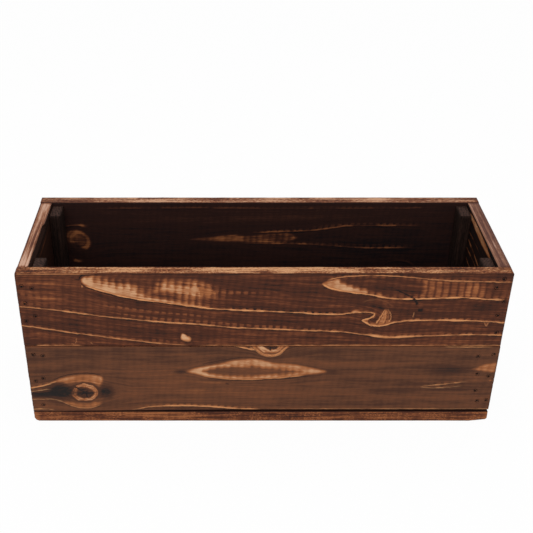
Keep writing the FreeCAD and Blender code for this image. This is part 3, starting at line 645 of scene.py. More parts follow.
def lens_field(lenses, cores, at):
    """Depth in the spared patches and their heat; depth in the cores, their strength and comb."""
    patch = np.tile([-REACH, 0.0, 0.0], (len(at), 1))
    core = np.tile([-REACH, 0.0, 0.0], (len(at), 1))
    spared = [(heat, 0.0, outline) for heat, outline in lenses]
    for field, outlines in ((patch, spared), (core, cores)):
        for first, second, outline in outlines:
            curve = smooth_curve(outline, closed=True)
            near = near_curve(curve, at, REACH)
            depth = depth_inside(curve, at[near])
            new = np.stack([depth, np.full(len(depth), first), np.full(len(depth), second)], axis=1)
            field[near] = np.where((depth > field[near, 0])[:, None], new, field[near])
    return patch, core


def spot_field(spots, at):
    total = np.zeros(len(at))
    for along, up, reach_along, reach_up, amount in spots:
        gap = ((at[:, 0] - along) / reach_along) ** 2 + ((at[:, 1] - up) / reach_up) ** 2
        total += amount * np.exp(-gap)
    return total


def knot_field(knots, at):
    """Place within the nearest knot, in its own radii, and its strength."""
    field = np.tile([3.0, 3.0, 0.0], (len(at), 1))
    for along, up, half_length, half_height, strength in knots:
        u = (at[:, 0] - along) / half_length
        v = (at[:, 1] - up) / half_height
        near = np.hypot(u, v) < KNOT_REACH
        level = strength * np.clip((KNOT_REACH - np.hypot(u, v)) / 0.6, 0, 1)
        field[near] = np.stack([u, v, level], axis=1)[near]
    return field


def flow_field(guides, knots, at):
    """Across-grain coordinate: constant along each guide, bent round each knot."""
    flow = at[:, 1].copy()
    low, high = at[:, 1].min() - 1, at[:, 1].max() + 1
    if guides:
        lines = [np.full(len(at), low)]
        levels = [low]
        for guide in guides:
            marks = np.asarray(guide, float)
            line = np.interp(at[:, 0], marks[:, 0], marks[:, 1])
            lines.append(np.maximum(line, lines[-1] + GUIDE_GAP))
            levels.append(float(np.mean(marks[:, 1])))
        lines.append(np.maximum(high, lines[-1] + GUIDE_GAP))
        levels.append(high)
        for below, above, start, stop in zip(lines, lines[1:], levels, levels[1:]):
            between = (at[:, 1] >= below) & (at[:, 1] < above)
            share = (at[:, 1] - below) / (above - below)
            flow = np.where(between, start + share * (stop - start), flow)
    for along, up, half_length, half_height, strength in knots:
        u = (at[:, 0] - along) / (2.4 * half_length)
        v = (at[:, 1] - up) / (1.6 * half_height)
        flow -= strength * half_height * 0.9 * np.tanh(3 * v) * np.exp(-u ** 2 - np.abs(v))
    return flow


def drawn_figure(chance, length, low, high):
    """A figure of the same kind for a face that has none of its own."""
    width = high - low
    figure = face_figure(chance.uniform(-0.06, 0.06))
    marks = np.linspace(-4, length + 4, max(5, int(length / 55)))
    for share, key, tick in ((0.24, "lines_a", "ticks_b"), (0.52, "lines_b", "ticks_a"),
                             (0.80, "lines_c", None)):
        level = low + width * (share + chance.uniform(-0.05, 0.05))
        heights = level + np.cumsum(chance.normal(0, 1.5, len(marks)))
        heights += (level - heights.mean())
        heights = np.clip(heights, level - width * 0.11, level + width * 0.11)
        guide = list(zip(marks, heights))
        figure["guides"].append(guide)
        first = chance.integers(0, 2)
        figure[key].append((chance.uniform(0.5, 0.8), chance.uniform(0.55, 0.9), 15, 25,
                            guide[first:]))
        if tick and length > 90:
            figure[tick].append((1.2, 0.5, 20, 20, [(a, h + 3.2) for a, h in guide[1:4]]))
    for _ in range(1 + int(length > 300)):
        span = chance.uniform(0.16, 0.30) * length
        middle = chance.uniform(0.2, 0.8) * length
        level = low + width * chance.choice([0.38, 0.66])
        swell = min(span * 0.12, width * 0.10)
        turn = np.linspace(0, 2 * math.pi, 14, endpoint=False)
        outline = [(middle + span / 2 * math.cos(t),
                    level + swell * math.sin(t) * (1 + 0.25 * math.cos(t))) for t in turn]
        figure["lenses"].append((chance.uniform(0, 0.15), outline))
        figure["cores"].append((0.9, 4.5, [
            (middle + (a - middle) * 0.6 + span * 0.06, level + (h - level) * 0.55)
            for a, h in outline]))
    if length > 90 and chance.random() < 0.7:
        figure["knots"].append((
            chance.uniform(0.15, 0.85) * length, low + width * chance.uniform(0.35, 0.65),
            chance.uniform(5, 9), chance.uniform(4.5, 7), 0.45))
    for _ in range(6):
        figure["tone"].append((
            chance.uniform(0, length), chance.uniform(low, high), length * 0.18, width * 0.2,
            chance.uniform(-0.08, 0.08)))
    for _ in range(2):
        figure["soot"].append((
            chance.uniform(0, length), chance.uniform(low, high), 10, 3, chance.uniform(0.2, 0.6)))
    for _ in range(4):
        figure["rim"].append((chance.uniform(0, length), length * 0.1, chance.uniform(-0.15, 0.15)))
    return figure


def wander(chance, at, pitch, height):
    """Smooth seeded unevenness along one direction."""
    low = at.min() - pitch
    count = int((at.max() - low) / pitch) + 3
    knots = chance.uniform(-1, 1, count)
    place = (at - low) / pitch
    index = np.clip(place.astype(int), 0, count - 2)
    share = place - index
    share = share * share * (3 - 2 * share)
    return height * (knots[index] * (1 - share) + knots[index + 1] * share)


def grain_relief(chance, along, flow, reach):
    """Seeded unevenness that is long along the grain and narrow across it."""
    columns, rows = 9, 400
    table = chance.uniform(0, 1, (columns, rows))
    x = (along - along.min()) / max(np.ptp(along), 1e-6) * (columns - 1.001)
    y = np.mod(flow / reach, rows - 1.001)
    i, j = x.astype(int), y.astype(int)
    u, v = x - i, y - j
    u, v = u * u * (3 - 2 * u), v * v * (3 - 2 * v)
    near = table[i, j] * (1 - v) + table[i, j + 1] * v
    far = table[i + 1, j] * (1 - v) + table[i + 1, j + 1] * v
    return near * (1 - u) + far * u


# ------------------------------------------------------------------ board mesh
def even_steps(start, stop, step):
    return np.linspace(start, stop, max(2, int(round((stop - start) / step)) + 1))


def board_section(width, thick, arris, outer_step, inner_step):
    """Points, outward directions and sides round a board's cross section.

    Side 0 is the outer face, 1 the head edge, 2 the inner face, 3 the foot edge.
    """
    points, normals, sides = [], [], []
    turns = np.radians([-90, -60, -30, 0])

    def corner(middle_w, middle_t, start, side):
        for turn in turns[1:-1] - turns[0]:
            angle = start + turn
            points.append((middle_w + arris * math.cos(angle), middle_t + arris * math.sin(angle)))
            normals.append((math.cos(angle), math.sin(angle)))
            sides.append(side)

    def run(marks, make_point, normal, side):
        for mark in marks:
            points.append(make_point(mark))
            normals.append(normal)
            sides.append(side)

    run(even_steps(arris, width - arris, outer_step), lambda w: (w, 0.0), (0, -1), 0)
    corner(width - arris, arris, math.radians(-90), 0)
    run(even_steps(arris, thick - arris, EDGE_STEP), lambda t: (width, t), (1, 0), 1)
    corner(width - arris, thick - arris, 0.0, 2)
    run(even_steps(arris, width - arris, inner_step), lambda w: (width - w, thick), (0, 1), 2)
    corner(arris, thick - arris, math.radians(90), 2)
    run(even_steps(arris, thick - arris, EDGE_STEP), lambda t: (0.0, thick - t), (-1, 0), 3)
    corner(arris, arris, math.radians(180), 0)
    return np.array(points), np.array(normals, float), np.array(sides)


def brad_heads(lie, low, high):
    """Places of the brad heads that show in a board's outer face, along and across it."""
    along, across, through, outward = LYING[lie]
    found = []
    for name in BRADS:
        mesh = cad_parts[name].data
        places = np.empty(len(mesh.vertices) * 3)
        mesh.vertices.foreach_get("co", places)
        places = places.reshape(-1, 3) / MM
        face = low[through] if outward < 0 else high[through]
        depth = (places[:, through] - face) * -outward
        shallow = places[(depth > HEAD_DEPTHS[0]) & (depth < HEAD_DEPTHS[1])]
        inside = np.all((shallow[:, [along, across]] > [low[along], low[across]])
                        & (shallow[:, [along, across]] < [high[along], high[across]]), axis=1)
        for place in shallow[inside]:
            here = np.array([place[along] - low[along], place[across] - low[across]])
            for group in found:
                if np.hypot(*(group[0] - here)) < HEAD_SIZE:
                    group.append(here)
                    break
            else:
                found.append([here])
    return [np.array(group).min(axis=0) / 2 + np.array(group).max(axis=0) / 2 for group in found]


class BoardGrid:
    """Vertices and faces of one board in its own directions: along, across and through."""

    def __init__(self, length, width, thick, arris, end_arris, along_step, outer_step, inner_step):
        self.length, self.width, self.thick = length, width, thick
        section, normals, sides = board_section(width, thick, arris, outer_step, inner_step)
        turned = end_arris * (1 - math.cos(math.radians(45)))
        stations = [(0.0, end_arris), (turned, turned)]
        stations += [(mark, 0.0) for mark in even_steps(end_arris, length - end_arris, along_step)]
        stations += [(length - turned, turned), (length, end_arris)]
        self.stations = np.array([mark for mark, _ in stations])
        self.ring = len(section)
        self.section, self.sides = section, sides
        rings = [np.column_stack([np.full(self.ring, mark), section - normals * inset])
                 for mark, inset in stations]
        self.places = np.vstack(rings)
        self.normals = np.tile(np.column_stack([np.zeros(self.ring), normals]), (len(stations), 1))
        self.side_of = np.tile(sides, len(stations))
        self.pit = np.zeros(len(self.places))
        self.faces, self.materials = [], []
        self.skipped = set()

    def add(self, place, normal, side, pit):
        self.extra.append((place, normal, side, pit))
        return len(self.places) + len(self.extra) - 1

    def sink(self, heads, radius, depth):
        """Opens a round pit in the outer face over each brad."""
        self.extra = []
        outer = [j for j in range(self.ring)
                 if self.sides[j] == 0 and abs(self.section[j][1]) < 1e-6]
        across = self.section[outer, 0]
        for head in heads:
            i = int(np.searchsorted(self.stations, head[0])) - 1
            j = int(np.searchsorted(across, head[1])) - 1
            i = min(max(i, 2), len(self.stations) - 4)
            j = min(max(j, 1), len(outer) - 3)
            block = {(a, outer[b]) for a in (i - 1, i, i + 1) for b in (j - 1, j, j + 1)}
            if block & self.skipped:
                continue
            self.skipped |= block
            edge = [(i - 1, j + b) for b in (-1, 0, 1, 2)] + [(i + a, j + 2) for a in (0, 1, 2)]
            edge += [(i + 2, j + b) for b in (1, 0, -1)] + [(i + a, j - 1) for a in (1, 0)]
            border = [a * self.ring + outer[b] for a, b in edge]
            ways = self.places[border][:, :2] - head
            ways /= np.maximum(np.hypot(*ways.T), 1e-6)[:, None]
            for share, sunk, dark in PIT_RINGS:
                ring = [self.add((*(head + way * radius * share), sunk * depth), (0, 0, -1), 0,
                                 dark) for way in ways]
                self.join(border, ring, 0)
                border = ring
            self.faces.append(tuple(border))
            self.materials.append(0)
        if self.extra:
            self.places = np.vstack([self.places, [item[0] for item in self.extra]])
            self.normals = np.vstack([self.normals, [item[1] for item in self.extra]])
            self.side_of = np.append(self.side_of, [item[2] for item in self.extra])
            self.pit = np.append(self.pit, [item[3] for item in self.extra])

    def join(self, border, ring, material):
        for k in range(len(border)):
            n = (k + 1) % len(border)
            self.faces.append((border[k], border[n], ring[n], ring[k]))
            self.materials.append(material)

    def skin(self):
        for i in range(len(self.stations) - 1):
            for j in range(self.ring):
                if (i, j) in self.skipped:
                    continue
                n = (j + 1) % self.ring
                here, next_ring = i * self.ring, (i + 1) * self.ring
                self.faces.append((here + j, next_ring + j, next_ring + n, here + n))
                side = min(self.sides[j], self.sides[n])
                if {self.sides[j], self.sides[n]} == {3, 0}:
                    side = 0
                self.materials.append(int(side))

    def close_ends(self):
        """Closes both ends with shrinking rings round the middle of the section."""
        middle = np.array([self.width / 2, self.thick / 2])
        for station, turn in ((0, 1), (len(self.stations) - 1, -1)):
            border = [station * self.ring + j for j in range(self.ring)][::turn]
            outline = self.places[border]
            for share in END_RINGS:
                ring = np.column_stack([outline[:, 0], middle + (outline[:, 1:] - middle) * share])
                start = len(self.places)
                self.places = np.vstack([self.places, ring])
                self.normals = np.vstack([self.normals, np.zeros_like(ring)])
                self.side_of = np.append(self.side_of, np.full(len(ring), 4))
                self.pit = np.append(self.pit, np.zeros(len(ring)))
                inner = list(range(start, start + len(ring)))
                self.join(border, inner, 4)
                border = inner
            self.faces.append(tuple(border))
            self.materials.append(4)


def loss_along(table, name, along):
    if name not in table:
        return np.zeros(len(along))
    marks = np.array(table[name], float)
    return np.interp(along, marks[:, 0], marks[:, 1])


def keep_inside(places, free, node):
    """Moves every point that lies outside the CAD node onto its surface."""
    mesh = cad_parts[node].data
    tree = BVHTree.FromPolygons([v.co / MM for v in mesh.vertices],
                                [tuple(p.vertices) for p in mesh.polygons])
    for k in np.flatnonzero(free):
        point = Vector(places[k])
        near, normal, _, distance = tree.find_nearest(point)
        if near is not None and distance < SNAP_REACH and (point - near).dot(normal) > 0:
            places[k] = near - normal * SINK_CLEAR
    return places


def mesh_steps(lie, sizes):
    """Mesh spacing of a board along it, across its outer face and across its inner face."""
    fine, coarse = sizes.face_step / MM, sizes.hidden_step / MM
    if lie.startswith("post"):
        return 2.0, 1.2, 1.2
    steps = {"front": (fine, fine, 5.0), "back": (coarse, coarse, 1.8), "under": (1.6, 2.6, 4.0)}
    return steps.get(lie, (1.5, 1.5, 1.5))


def face_fields(figure, at, pit, seed):
    """What the finishes need to know at each point of one face."""
    patch, core = lens_field(figure["lenses"], figure["cores"], at)
    made = {"patch": patch, "core": core, "knot": knot_field(figure["knots"], at),
            "crack": stroke_field(figure["cracks"], at)}
    for group in ("lines_a", "lines_b", "lines_c", "ticks_a", "ticks_b"):
        made[group] = stroke_field(figure[group], at)
    flow = flow_field(figure["guides"], figure["knots"], at)
    made["grain"] = np.column_stack([at[:, 0], flow, np.full(len(at), seed)])
    made["tone"] = np.column_stack([spot_field(figure["tone"], at) + figure["ground"],
                                    spot_field(figure["soot"], at), pit])
    return made


def edge_tone(board, figures, along):
    """Darkness of the long edges, with the rim spots of the face that is drawn."""
    tone = np.full(len(along), board.rim_tone)
    spots = figures[0]["rim"] + (figures[1]["rim"] if board.outer is None else [])
    for place, reach, amount in spots:
        tone += amount * np.exp(-((along - place) / reach) ** 2)
    return tone


def work_surface(chance, board, sizes, grid, along, l, w, t, flow):
    """Planer marks, brushed grain, wavering edges and torn ends, in the board's own directions."""
    pitch = sizes.chatter_pitch / MM
    chatter = 0.5 - 0.5 * np.cos(
        2 * math.pi * (along + 0.12 * flow + wander(chance, along, 60, 1.5)) / pitch)
    relief = chatter * sizes.chatter_depth / MM * np.isin(grid.side_of, (0, 2))
    relief += (grain_relief(chance, along, flow + 31 * grid.side_of, 3.4)
               * sizes.grain_depth / MM)
    relief[grid.pit >= 1] = 0
    w = w - grid.normals[:, 1] * relief
    t = t - grid.normals[:, 2] * relief

    waver = sizes.wavering_edge / MM
    lost = []
    for inwards, (long_wave, short_wave) in ((grid.width - w, EDGE_WAVES), (w, FOOT_WAVES)):
        lost.append(np.clip(1 - inwards / WAVE_FADE, 0, 1) * (
            wander(chance, l, long_wave, waver / 2) + wander(chance, l, short_wave, waver / 4)
            + waver * 0.75))
    w = w - lost[0] + lost[1] * board.arris

    ragged = sizes.ragged_end / MM * board.ragged
    for from_end, push in ((l, 1), (grid.length - l, -1)):
        fade = np.clip(1 - from_end / TEAR_FADE, 0, 1)
        torn = (wander(chance, w + 100 * (push > 0), 3.1, 0.3) + wander(chance, w, 1.3, 0.2)
                + wander(chance, t + 0.6 * w, 4.0, 0.2) + 0.1)
        l = l + push * fade * np.clip(torn, 0, 1.2) * ragged
    return l, w, t


def board_mesh(name, places, faces, materials, fields):
    """A mesh object from millimetre points, with each field as a point attribute."""
    mesh = bpy.data.meshes.new(name)
    if signed_volume(places, faces) < 0:
        faces = [face[::-1] for face in faces]
    mesh.from_pydata(places * MM, [], faces)
    mesh.polygons.foreach_set("material_index", np.array(materials, dtype=np.int32))
    mesh.polygons.foreach_set("use_smooth", np.ones(len(faces), dtype=bool))
    for label, values in fields.items():
        layer = mesh.attributes.new(label, "FLOAT_VECTOR", "POINT")
        layer.data.foreach_set("vector", values.astype(np.float32).ravel())
    mesh.validate()
    mesh.update()
    piece = bpy.data.objects.new(name, mesh)
    bpy.context.collection.objects.link(piece)
    return piece


def build_board(node, board, sizes):
    """One board as a mesh object that stands for its CAD node."""
    chance = np.random.default_rng(board.seed)
    low, high = (np.array(corner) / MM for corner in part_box(node))
    along, across, through, outward = LYING[board.lie]
    length, width, thick = (high[axis] - low[axis] for axis in (along, across, through))
    grid = BoardGrid(length, width, thick, sizes.arris / MM * board.arris, sizes.end_arris / MM,
                     *mesh_steps(board.lie, sizes))
    grid.sink(brad_heads(board.lie, low, high), sizes.pit_radius / MM, sizes.pit_depth / MM)
    grid.skin()
    grid.close_ends()

    l, w, t = grid.places.T.copy()
    side = grid.side_of
    foot, head, under = (loss_along(table, node, l)
                         for table in (FOOT_LOSS, HEAD_LOSS, UNDERSIDE_LOSS))
    w = foot + w * (1 - (foot + head) / width)
    t = under + t * (1 - under / thick)

    at = np.column_stack([l + low[along] - LOW[along], w + low[across]])
    figures = [figure or drawn_figure(chance, length, low[across], high[across])
               for figure in (board.outer, board.inner)]
    fields = {}
    for figure, chosen, turn in ((figures[0], side != 2, 0), (figures[1], side == 2, 400)):
        made = face_fields(figure, at[chosen], grid.pit[chosen], board.seed * 17.0 + turn)
        for name, values in made.items():
            fields.setdefault(name, np.zeros((len(at), 3)))[chosen] = values
    edge = np.isin(side, (1, 3, 4))
    fields["tone"][edge, 0] = edge_tone(board, figures, l)[edge]
    corner = np.min([np.hypot(a, b) for a in (w, width - w) for b in (t, thick - t)], axis=0)
    fields["edge"] = np.column_stack([corner, np.minimum(l, length - l), t])

    l, w, t = work_surface(chance, board, sizes, grid, at[:, 0], l, w, t, fields["grain"][:, 1])
    places = np.zeros((len(l), 3))
    places[:, along] = low[along] + l
    places[:, across] = low[across] + w
    places[:, through] = low[through] + t if outward < 0 else high[through] - t
    places = keep_inside(places, grid.pit < 1, node)
    piece = board_mesh("torched_" + node, places, grid.faces, grid.materials, fields)
    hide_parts(node)
    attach(piece, "root")
    return piece


def signed_volume(places, faces):
    """Positive when the four-sided faces look outwards."""
    corners = places[np.array([face for face in faces if len(face) == 4])]
    first, second = np.cross(corners[:, 1], corners[:, 2]), np.cross(corners[:, 2], corners[:, 3])
    return float(np.sum(corners[:, 0] * (first + second)))


# ------------------------------------------------------------------ shader wiring
class Wires:
    """Adds nodes to one tree from left to right and joins them."""

    def __init__(self, tree):
        self.tree = tree
        self.count = 0

    def node(self, kind, inputs=None, **settings):
        made = self.tree.nodes.new(kind)
        made.location = (160 * (self.count // 6), -180 * (self.count % 6))
        self.count += 1
        for key, value in settings.items():
            setattr(made, key, value)
        for key, value in (inputs or {}).items():
            self.feed(made.inputs[key], value)
        return made

    def feed(self, socket, value):
        if isinstance(value, bpy.types.NodeSocket):
            self.tree.links.new(value, socket)
        else:
            socket.default_value = value

    def math(self, operation, *values, clamp=False):
        return self.node("ShaderNodeMath", dict(enumerate(values)), operation=operation,
                         use_clamp=clamp).outputs[0]

    def times(self, *values, clamp=False):
        return self.math("MULTIPLY", *values, clamp=clamp)

    def plus(self, first, second):
        return self.math("ADD", first, second)

    def minus(self, first, second, clamp=False):
        return self.math("SUBTRACT", first, second, clamp=clamp)

    def times_plus(self, value, factor, extra):
        return self.math("MULTIPLY_ADD", value, factor, extra)

    def swing(self, part, amount, onto, clamp=False):
        """A value moved up and down by a part that runs from 0 to 1."""
        return self.math("MULTIPLY_ADD", self.minus(part, 0.5), amount, onto, clamp=clamp)

    def ease(self, value, low, high, start=0.0, stop=1.0):
        made = self.node("ShaderNodeMapRange", {
            "Value": value, "From Min": low, "From Max": high, "To Min": start, "To Max": stop},
            interpolation_type="SMOOTHSTEP")
        return made.outputs[0]

    def mix(self, share, a, b):
        return self.node("ShaderNodeMix", {0: share, 2: a, 3: b}, data_type="FLOAT").outputs[0]

    def blend(self, share, a, b, way="MIX"):
        return self.node("ShaderNodeMix", {0: share, 6: a, 7: b}, data_type="RGBA",
                         blend_type=way).outputs[2]

    def join(self, x, y, z):
        return self.node("ShaderNodeCombineXYZ", {0: x, 1: y, 2: z}).outputs[0]

    def split(self, vector):
        return self.node("ShaderNodeSeparateXYZ", {0: vector}).outputs[:]

    def noise(self, vector, scale, detail=2.0, roughness=0.5):
        made = self.node("ShaderNodeTexNoise", {"Vector": vector, "Scale": scale, "Detail": detail,
                                                "Roughness": roughness})
        return made.outputs[0]

    def field(self, name):
        return self.split(self.node("ShaderNodeAttribute", attribute_name=name,
                                    attribute_type="GEOMETRY").outputs["Vector"])

    def place(self):
        """The piece's own coordinates in millimetres."""
        where = self.node("ShaderNodeTexCoord").outputs["Object"]
        return self.split(self.node("ShaderNodeVectorMath", {0: where, "Scale": 1 / MM},
                                    operation="SCALE").outputs[0])

    def group(self, name, **inputs):
        made = self.node("ShaderNodeGroup", node_tree=bpy.data.node_groups[name])
        for key, value in inputs.items():
            self.feed(made.inputs[key.replace("_", " ")], value)
        return made.outputs


def start_group(name, inputs, outputs):
    """An empty node group; returns its wires, its given sockets and the sockets that it puts out.

    The inputs are named values with their defaults, and an input without one is a colour.
    """
    tree = bpy.data.node_groups.new(name, "ShaderNodeTree")
    for label, default in inputs.items():
        kind = "NodeSocketColor" if default is None else "NodeSocketFloat"
        socket = tree.interface.new_socket(label, in_out="INPUT", socket_type=kind)
        if default is not None:
            socket.default_value = default
    for label in outputs:
        kind = "NodeSocketColor" if label == "Colour" else "NodeSocketFloat"
        tree.interface.new_socket(label, in_out="OUTPUT", socket_type=kind)
    wires = Wires(tree)
    start = wires.node("NodeGroupInput")
    stop = wires.node("NodeGroupOutput")
    return wires, start.outputs, stop.inputs


def make_grain_group():
    """Streaks, fine lines and growth rings, in millimetres along and across the grain."""
    w, given, out = start_group(
        "Softwood Grain",
        {"Along": 0.0, "Across": 0.0, "Seed": 0.0, "Ring Pitch": 6.5},
        ("Streaks", "Lines", "Rings", "Fibres", "Fade"))
    along, across, seed = given["Along"], given["Across"], given["Seed"]

    def layer(along_scale, across_scale, shift, detail, roughness, low, high):
        place = w.join(w.times(along, along_scale), w.times(across, across_scale),
                       w.plus(seed, shift))
        return w.ease(w.noise(place, 1.0, detail, roughness), low, high)

    broad = layer(0.009, 0.14, 0.0, 3.0, 0.55, 0.26, 0.74)
    fine = layer(0.022, 0.48, 3.0, 4.0, 0.6, 0.27, 0.73)
    fibre = layer(0.10, 1.3, 7.0, 3.0, 0.65, 0.29, 0.71)
    bent = w.swing(broad, 4.0, across)
    phase = w.math("FRACT", w.math("DIVIDE", bent, given["Ring Pitch"]))
    late = w.times(w.ease(phase, 0.62, 0.93), w.ease(phase, 1.0, 0.955))
    w.feed(out["Streaks"], broad)
    w.feed(out["Lines"], fine)
    w.feed(out["Rings"], late)
    w.feed(out["Fibres"], fibre)
    w.feed(out["Fade"], layer(0.045, 0.04, 11.0, 2.0, 0.5, 0.2, 0.8))


def make_chatter_group():
    """Planer marks: a sawtooth along the board, and the thin scores where it drops."""
    w, given, out = start_group(
        "Planer Chatter",
        {"Along": 0.0, "Across": 0.0, "Seed": 0.0, "Pitch": 7.5, "Slant": 0.12},
        ("Saw", "Score", "Wave"))
    place = w.times_plus(given["Across"], w.times(given["Slant"], -1.0), given["Along"])
    drift = w.noise(w.join(w.times(given["Along"], 0.03), w.times(given["Across"], 0.06),
                           given["Seed"]), 1.0, 1.0)
    shake = w.noise(w.join(w.times(given["Along"], 0.2), w.times(given["Across"], 0.9),
                           given["Seed"]), 1.0, 1.0)
    place = w.swing(drift, 5.0, place)
    place = w.swing(shake, 1.6, place)
    turns = w.math("DIVIDE", place, given["Pitch"])
    part = w.math("FRACT", turns)
    w.feed(out["Saw"], w.times(w.ease(part, -0.05, 0.62), w.ease(part, 1.04, 0.66)))
    w.feed(out["Score"], w.math("MAXIMUM", w.ease(part, 0.74, 0.98), w.ease(part, 0.26, 0.02)))
    wave = w.math("COSINE", w.times(turns, 2 * math.pi))
    w.feed(out["Wave"], w.times_plus(wave, 0.5, 0.5))


def make_patch_group():
    """A spared patch with its scorched core, whose edge the planer marks cut into a comb."""
    w, given, out = start_group(
        "Spared Patch",
        {"Inside": 0.0, "Core": 0.0, "Core Strength": 0.0, "Comb": 5.0, "Saw": 0.5, "Fibres": 0.5,
         "Lines": 0.5, "Fade": 0.5},
        ("Light", "Border", "Core"))
    torn = w.swing(given["Fibres"], 1.0, given["Inside"])
    shape = w.ease(torn, -0.7, 1.1)
    tooth = w.times(given["Comb"], w.ease(given["Fade"], 0.2, 0.8, 0.6, 1.25))
    core = w.times_plus(w.minus(0.5, given["Saw"]), tooth, given["Core"])
    for part, share in (("Lines", 0.5), ("Fibres", 0.25)):
        core = w.swing(given[part], w.times(tooth, share), core)
    soft = w.times_plus(given["Comb"], 1.05, 1.3)
    core = w.math("DIVIDE", w.plus(core, soft), w.times(soft, 2.0), clamp=True)
    core = w.times(core, given["Core Strength"])
    border = w.times(w.ease(torn, -0.3, 0.4), w.ease(torn, 2.6, 0.8))
    w.feed(out["Light"], shape)
    w.feed(out["Border"], border)
    w.feed(out["Core"], core)


def make_line_group():
    """A bright line of hard grain, the painted shade under it and the toasted teeth over it."""
    w, given, out = start_group(
        "Spared Line",
        {"Offset": 9.0, "Half Width": 0.6, "Strength": 0.0, "Saw": 0.5, "Fibres": 0.5, "Fade": 0.5},
        ("Light", "Shade", "Teeth"))
    offset = w.swing(given["Fibres"], 1.1, given["Offset"])
    uneven = w.ease(given["Fade"], 0.3, 0.7, 0.55, 1.25)
    half = w.times(given["Half Width"], uneven)
    gap = w.math("ABSOLUTE", offset)
    light = w.ease(gap, w.plus(half, 0.55), w.times(half, 0.2))
    level = w.times(given["Strength"], w.ease(given["Fade"], 0.25, 0.6, 0.62, 1.0))
    w.feed(out["Light"], w.times(light, level))
    # Shade: painted shade of the groove under the raised line.
    below = w.plus(offset, w.plus(half, 0.7))
    shade = w.ease(w.math("ABSOLUTE", below), 1.0, 0.1)
    w.feed(out["Shade"], w.times(shade, given["Strength"]))
    reach = w.times_plus(w.ease(given["Saw"], 0.1, 0.7), 2.5, half)
    teeth = w.times(w.ease(w.minus(offset, reach), 0.5, -1.3), w.ease(offset, -0.3, 0.4))
    w.feed(out["Teeth"], w.times(w.times(teeth, given["Strength"]),
                                w.ease(given["Fade"], 0.35, 0.65, 0.35, 1.0)))


def make_tick_group():
    """A row of short toasted dashes left by the planer."""
    w, given, out = start_group(
        "Toasted Ticks",
        {"Offset": 9.0, "Half Width": 1.0, "Strength": 0.0, "Saw": 0.5, "Fibres": 0.5},
        ("Light",))
    offset = w.swing(given["Fibres"], 2.0, given["Offset"])
    gap = w.math("ABSOLUTE", offset)
    band = w.ease(gap, w.plus(given["Half Width"], 0.6), 0.0)
    dash = w.times_plus(w.ease(given["Saw"], 0.15, 0.75), 0.82, 0.18)
    w.feed(out["Light"], w.times(w.times(band, dash), given["Strength"]))


def make_knot_group():
    """A knot: dark heart with checks, pale rings, thin dark outline."""
    w, given, out = start_group(
        "Knot",
        {"Across X": 3.0, "Across Y": 3.0, "Strength": 0.0, "Seed": 0.0},
        ("Ring", "Heart", "Outline", "Check"))
    u, v = given["Across X"], given["Across Y"]
    wobble = w.noise(w.join(u, v, given["Seed"]), 1.7, 2.0)
    radius = w.math("SQRT", w.plus(w.times(u, u), w.times(v, v)))
    radius = w.swing(wobble, 0.42, radius)
    heart = w.ease(radius, 0.68, 0.54)
    ring = w.times(w.ease(radius, 1.04, 0.94), w.minus(1.0, heart))
    wave = w.times_plus(w.math("COSINE", w.times(radius, 42.0)), 0.22, 0.78)
    outline = w.times(w.ease(radius, 0.92, 1.04), w.ease(radius, 1.22, 1.08))
    turn = w.math("ARCTAN2", v, u)
    spokes = w.noise(w.join(w.math("COSINE", turn), w.math("SINE", turn), given["Seed"]), 5.5, 2.0)
    check = w.times(w.ease(spokes, 0.63, 0.68), w.times(w.ease(radius, 0.9, 0.5),
                                                                 w.ease(radius, 0.02, 0.15)))
    for label, value in (("Ring", w.times(ring, wave)), ("Heart", heart), ("Outline", outline),
                         ("Check", check)):
        w.feed(out[label], w.times(value, given["Strength"]))


def make_edge_group():
    """Wear along the arrises, broken up along the board."""
    w, given, out = start_group(
        "Edge Wear",
        {"Distance": 9.0, "Reach": 0.9, "Along": 0.0, "Seed": 0.0},
        ("Wear",))
    patch = w.noise(w.join(w.times(given["Along"], 0.035), given["Seed"], 0.0), 1.0, 3.0, 0.6)
    near = w.ease(given["Distance"], given["Reach"], w.times(given["Reach"], 0.3))
    w.feed(out["Wear"], w.times(near, w.ease(patch, 0.45, 0.62)))


def make_end_grain_group():
    """Growth rings and saw fuzz on a sawn end, from millimetre coordinates."""
    w, given, out = start_group(
        "End Grain",
        {"X": 0.0, "Y": 0.0, "Seed": 0.0},
        ("Rings", "Fuzz"))
    soft = w.noise(w.join(given["X"], given["Y"], given["Seed"]), 0.12, 2.0)
    dx = w.plus(given["X"], 38.0)
    dy = w.minus(given["Y"], 120.0)
    far = w.math("SQRT", w.plus(w.times(dx, dx), w.times(dy, dy)))
    far = w.times_plus(soft, 6.0, far)
    rings = w.times_plus(w.math("SINE", w.times(far, 2.1)), 0.5, 0.5)
    w.feed(out["Rings"], rings)
    w.feed(out["Fuzz"], w.noise(w.join(given["X"], given["Y"], given["Seed"]), 0.8, 4.0, 0.65))


def make_scorch_group():
    """Colour by scorching: 0 spared, 0.3 toasted, 0.6 brown, 0.9 burnt, 1.3 charred."""
    w, given, out = start_group(
        "Scorch Colour",
        {"Heat": 0.7, "Spared": None, "Toasted": None, "Browned": None, "Burnt": None,
         "Charred": None},
        ("Colour", "Roughness"))
    heat = given["Heat"]
    colour = w.blend(w.ease(heat, -0.12, 0.34), given["Spared"], given["Toasted"])
    colour = w.blend(w.ease(heat, 0.26, 0.62), colour, given["Browned"])
    colour = w.blend(w.ease(heat, 0.55, 0.92), colour, given["Burnt"])
    colour = w.blend(w.ease(heat, 0.92, 1.3), colour, given["Charred"])
    w.feed(out["Colour"], colour)
    w.feed(out["Roughness"], w.ease(heat, 0.0, 1.2, 0.52, 0.68))


GROUP_MAKERS = (
    make_grain_group, make_chatter_group, make_patch_group, make_line_group, make_tick_group,
    make_knot_group, make_edge_group, make_end_grain_group, make_scorch_group)


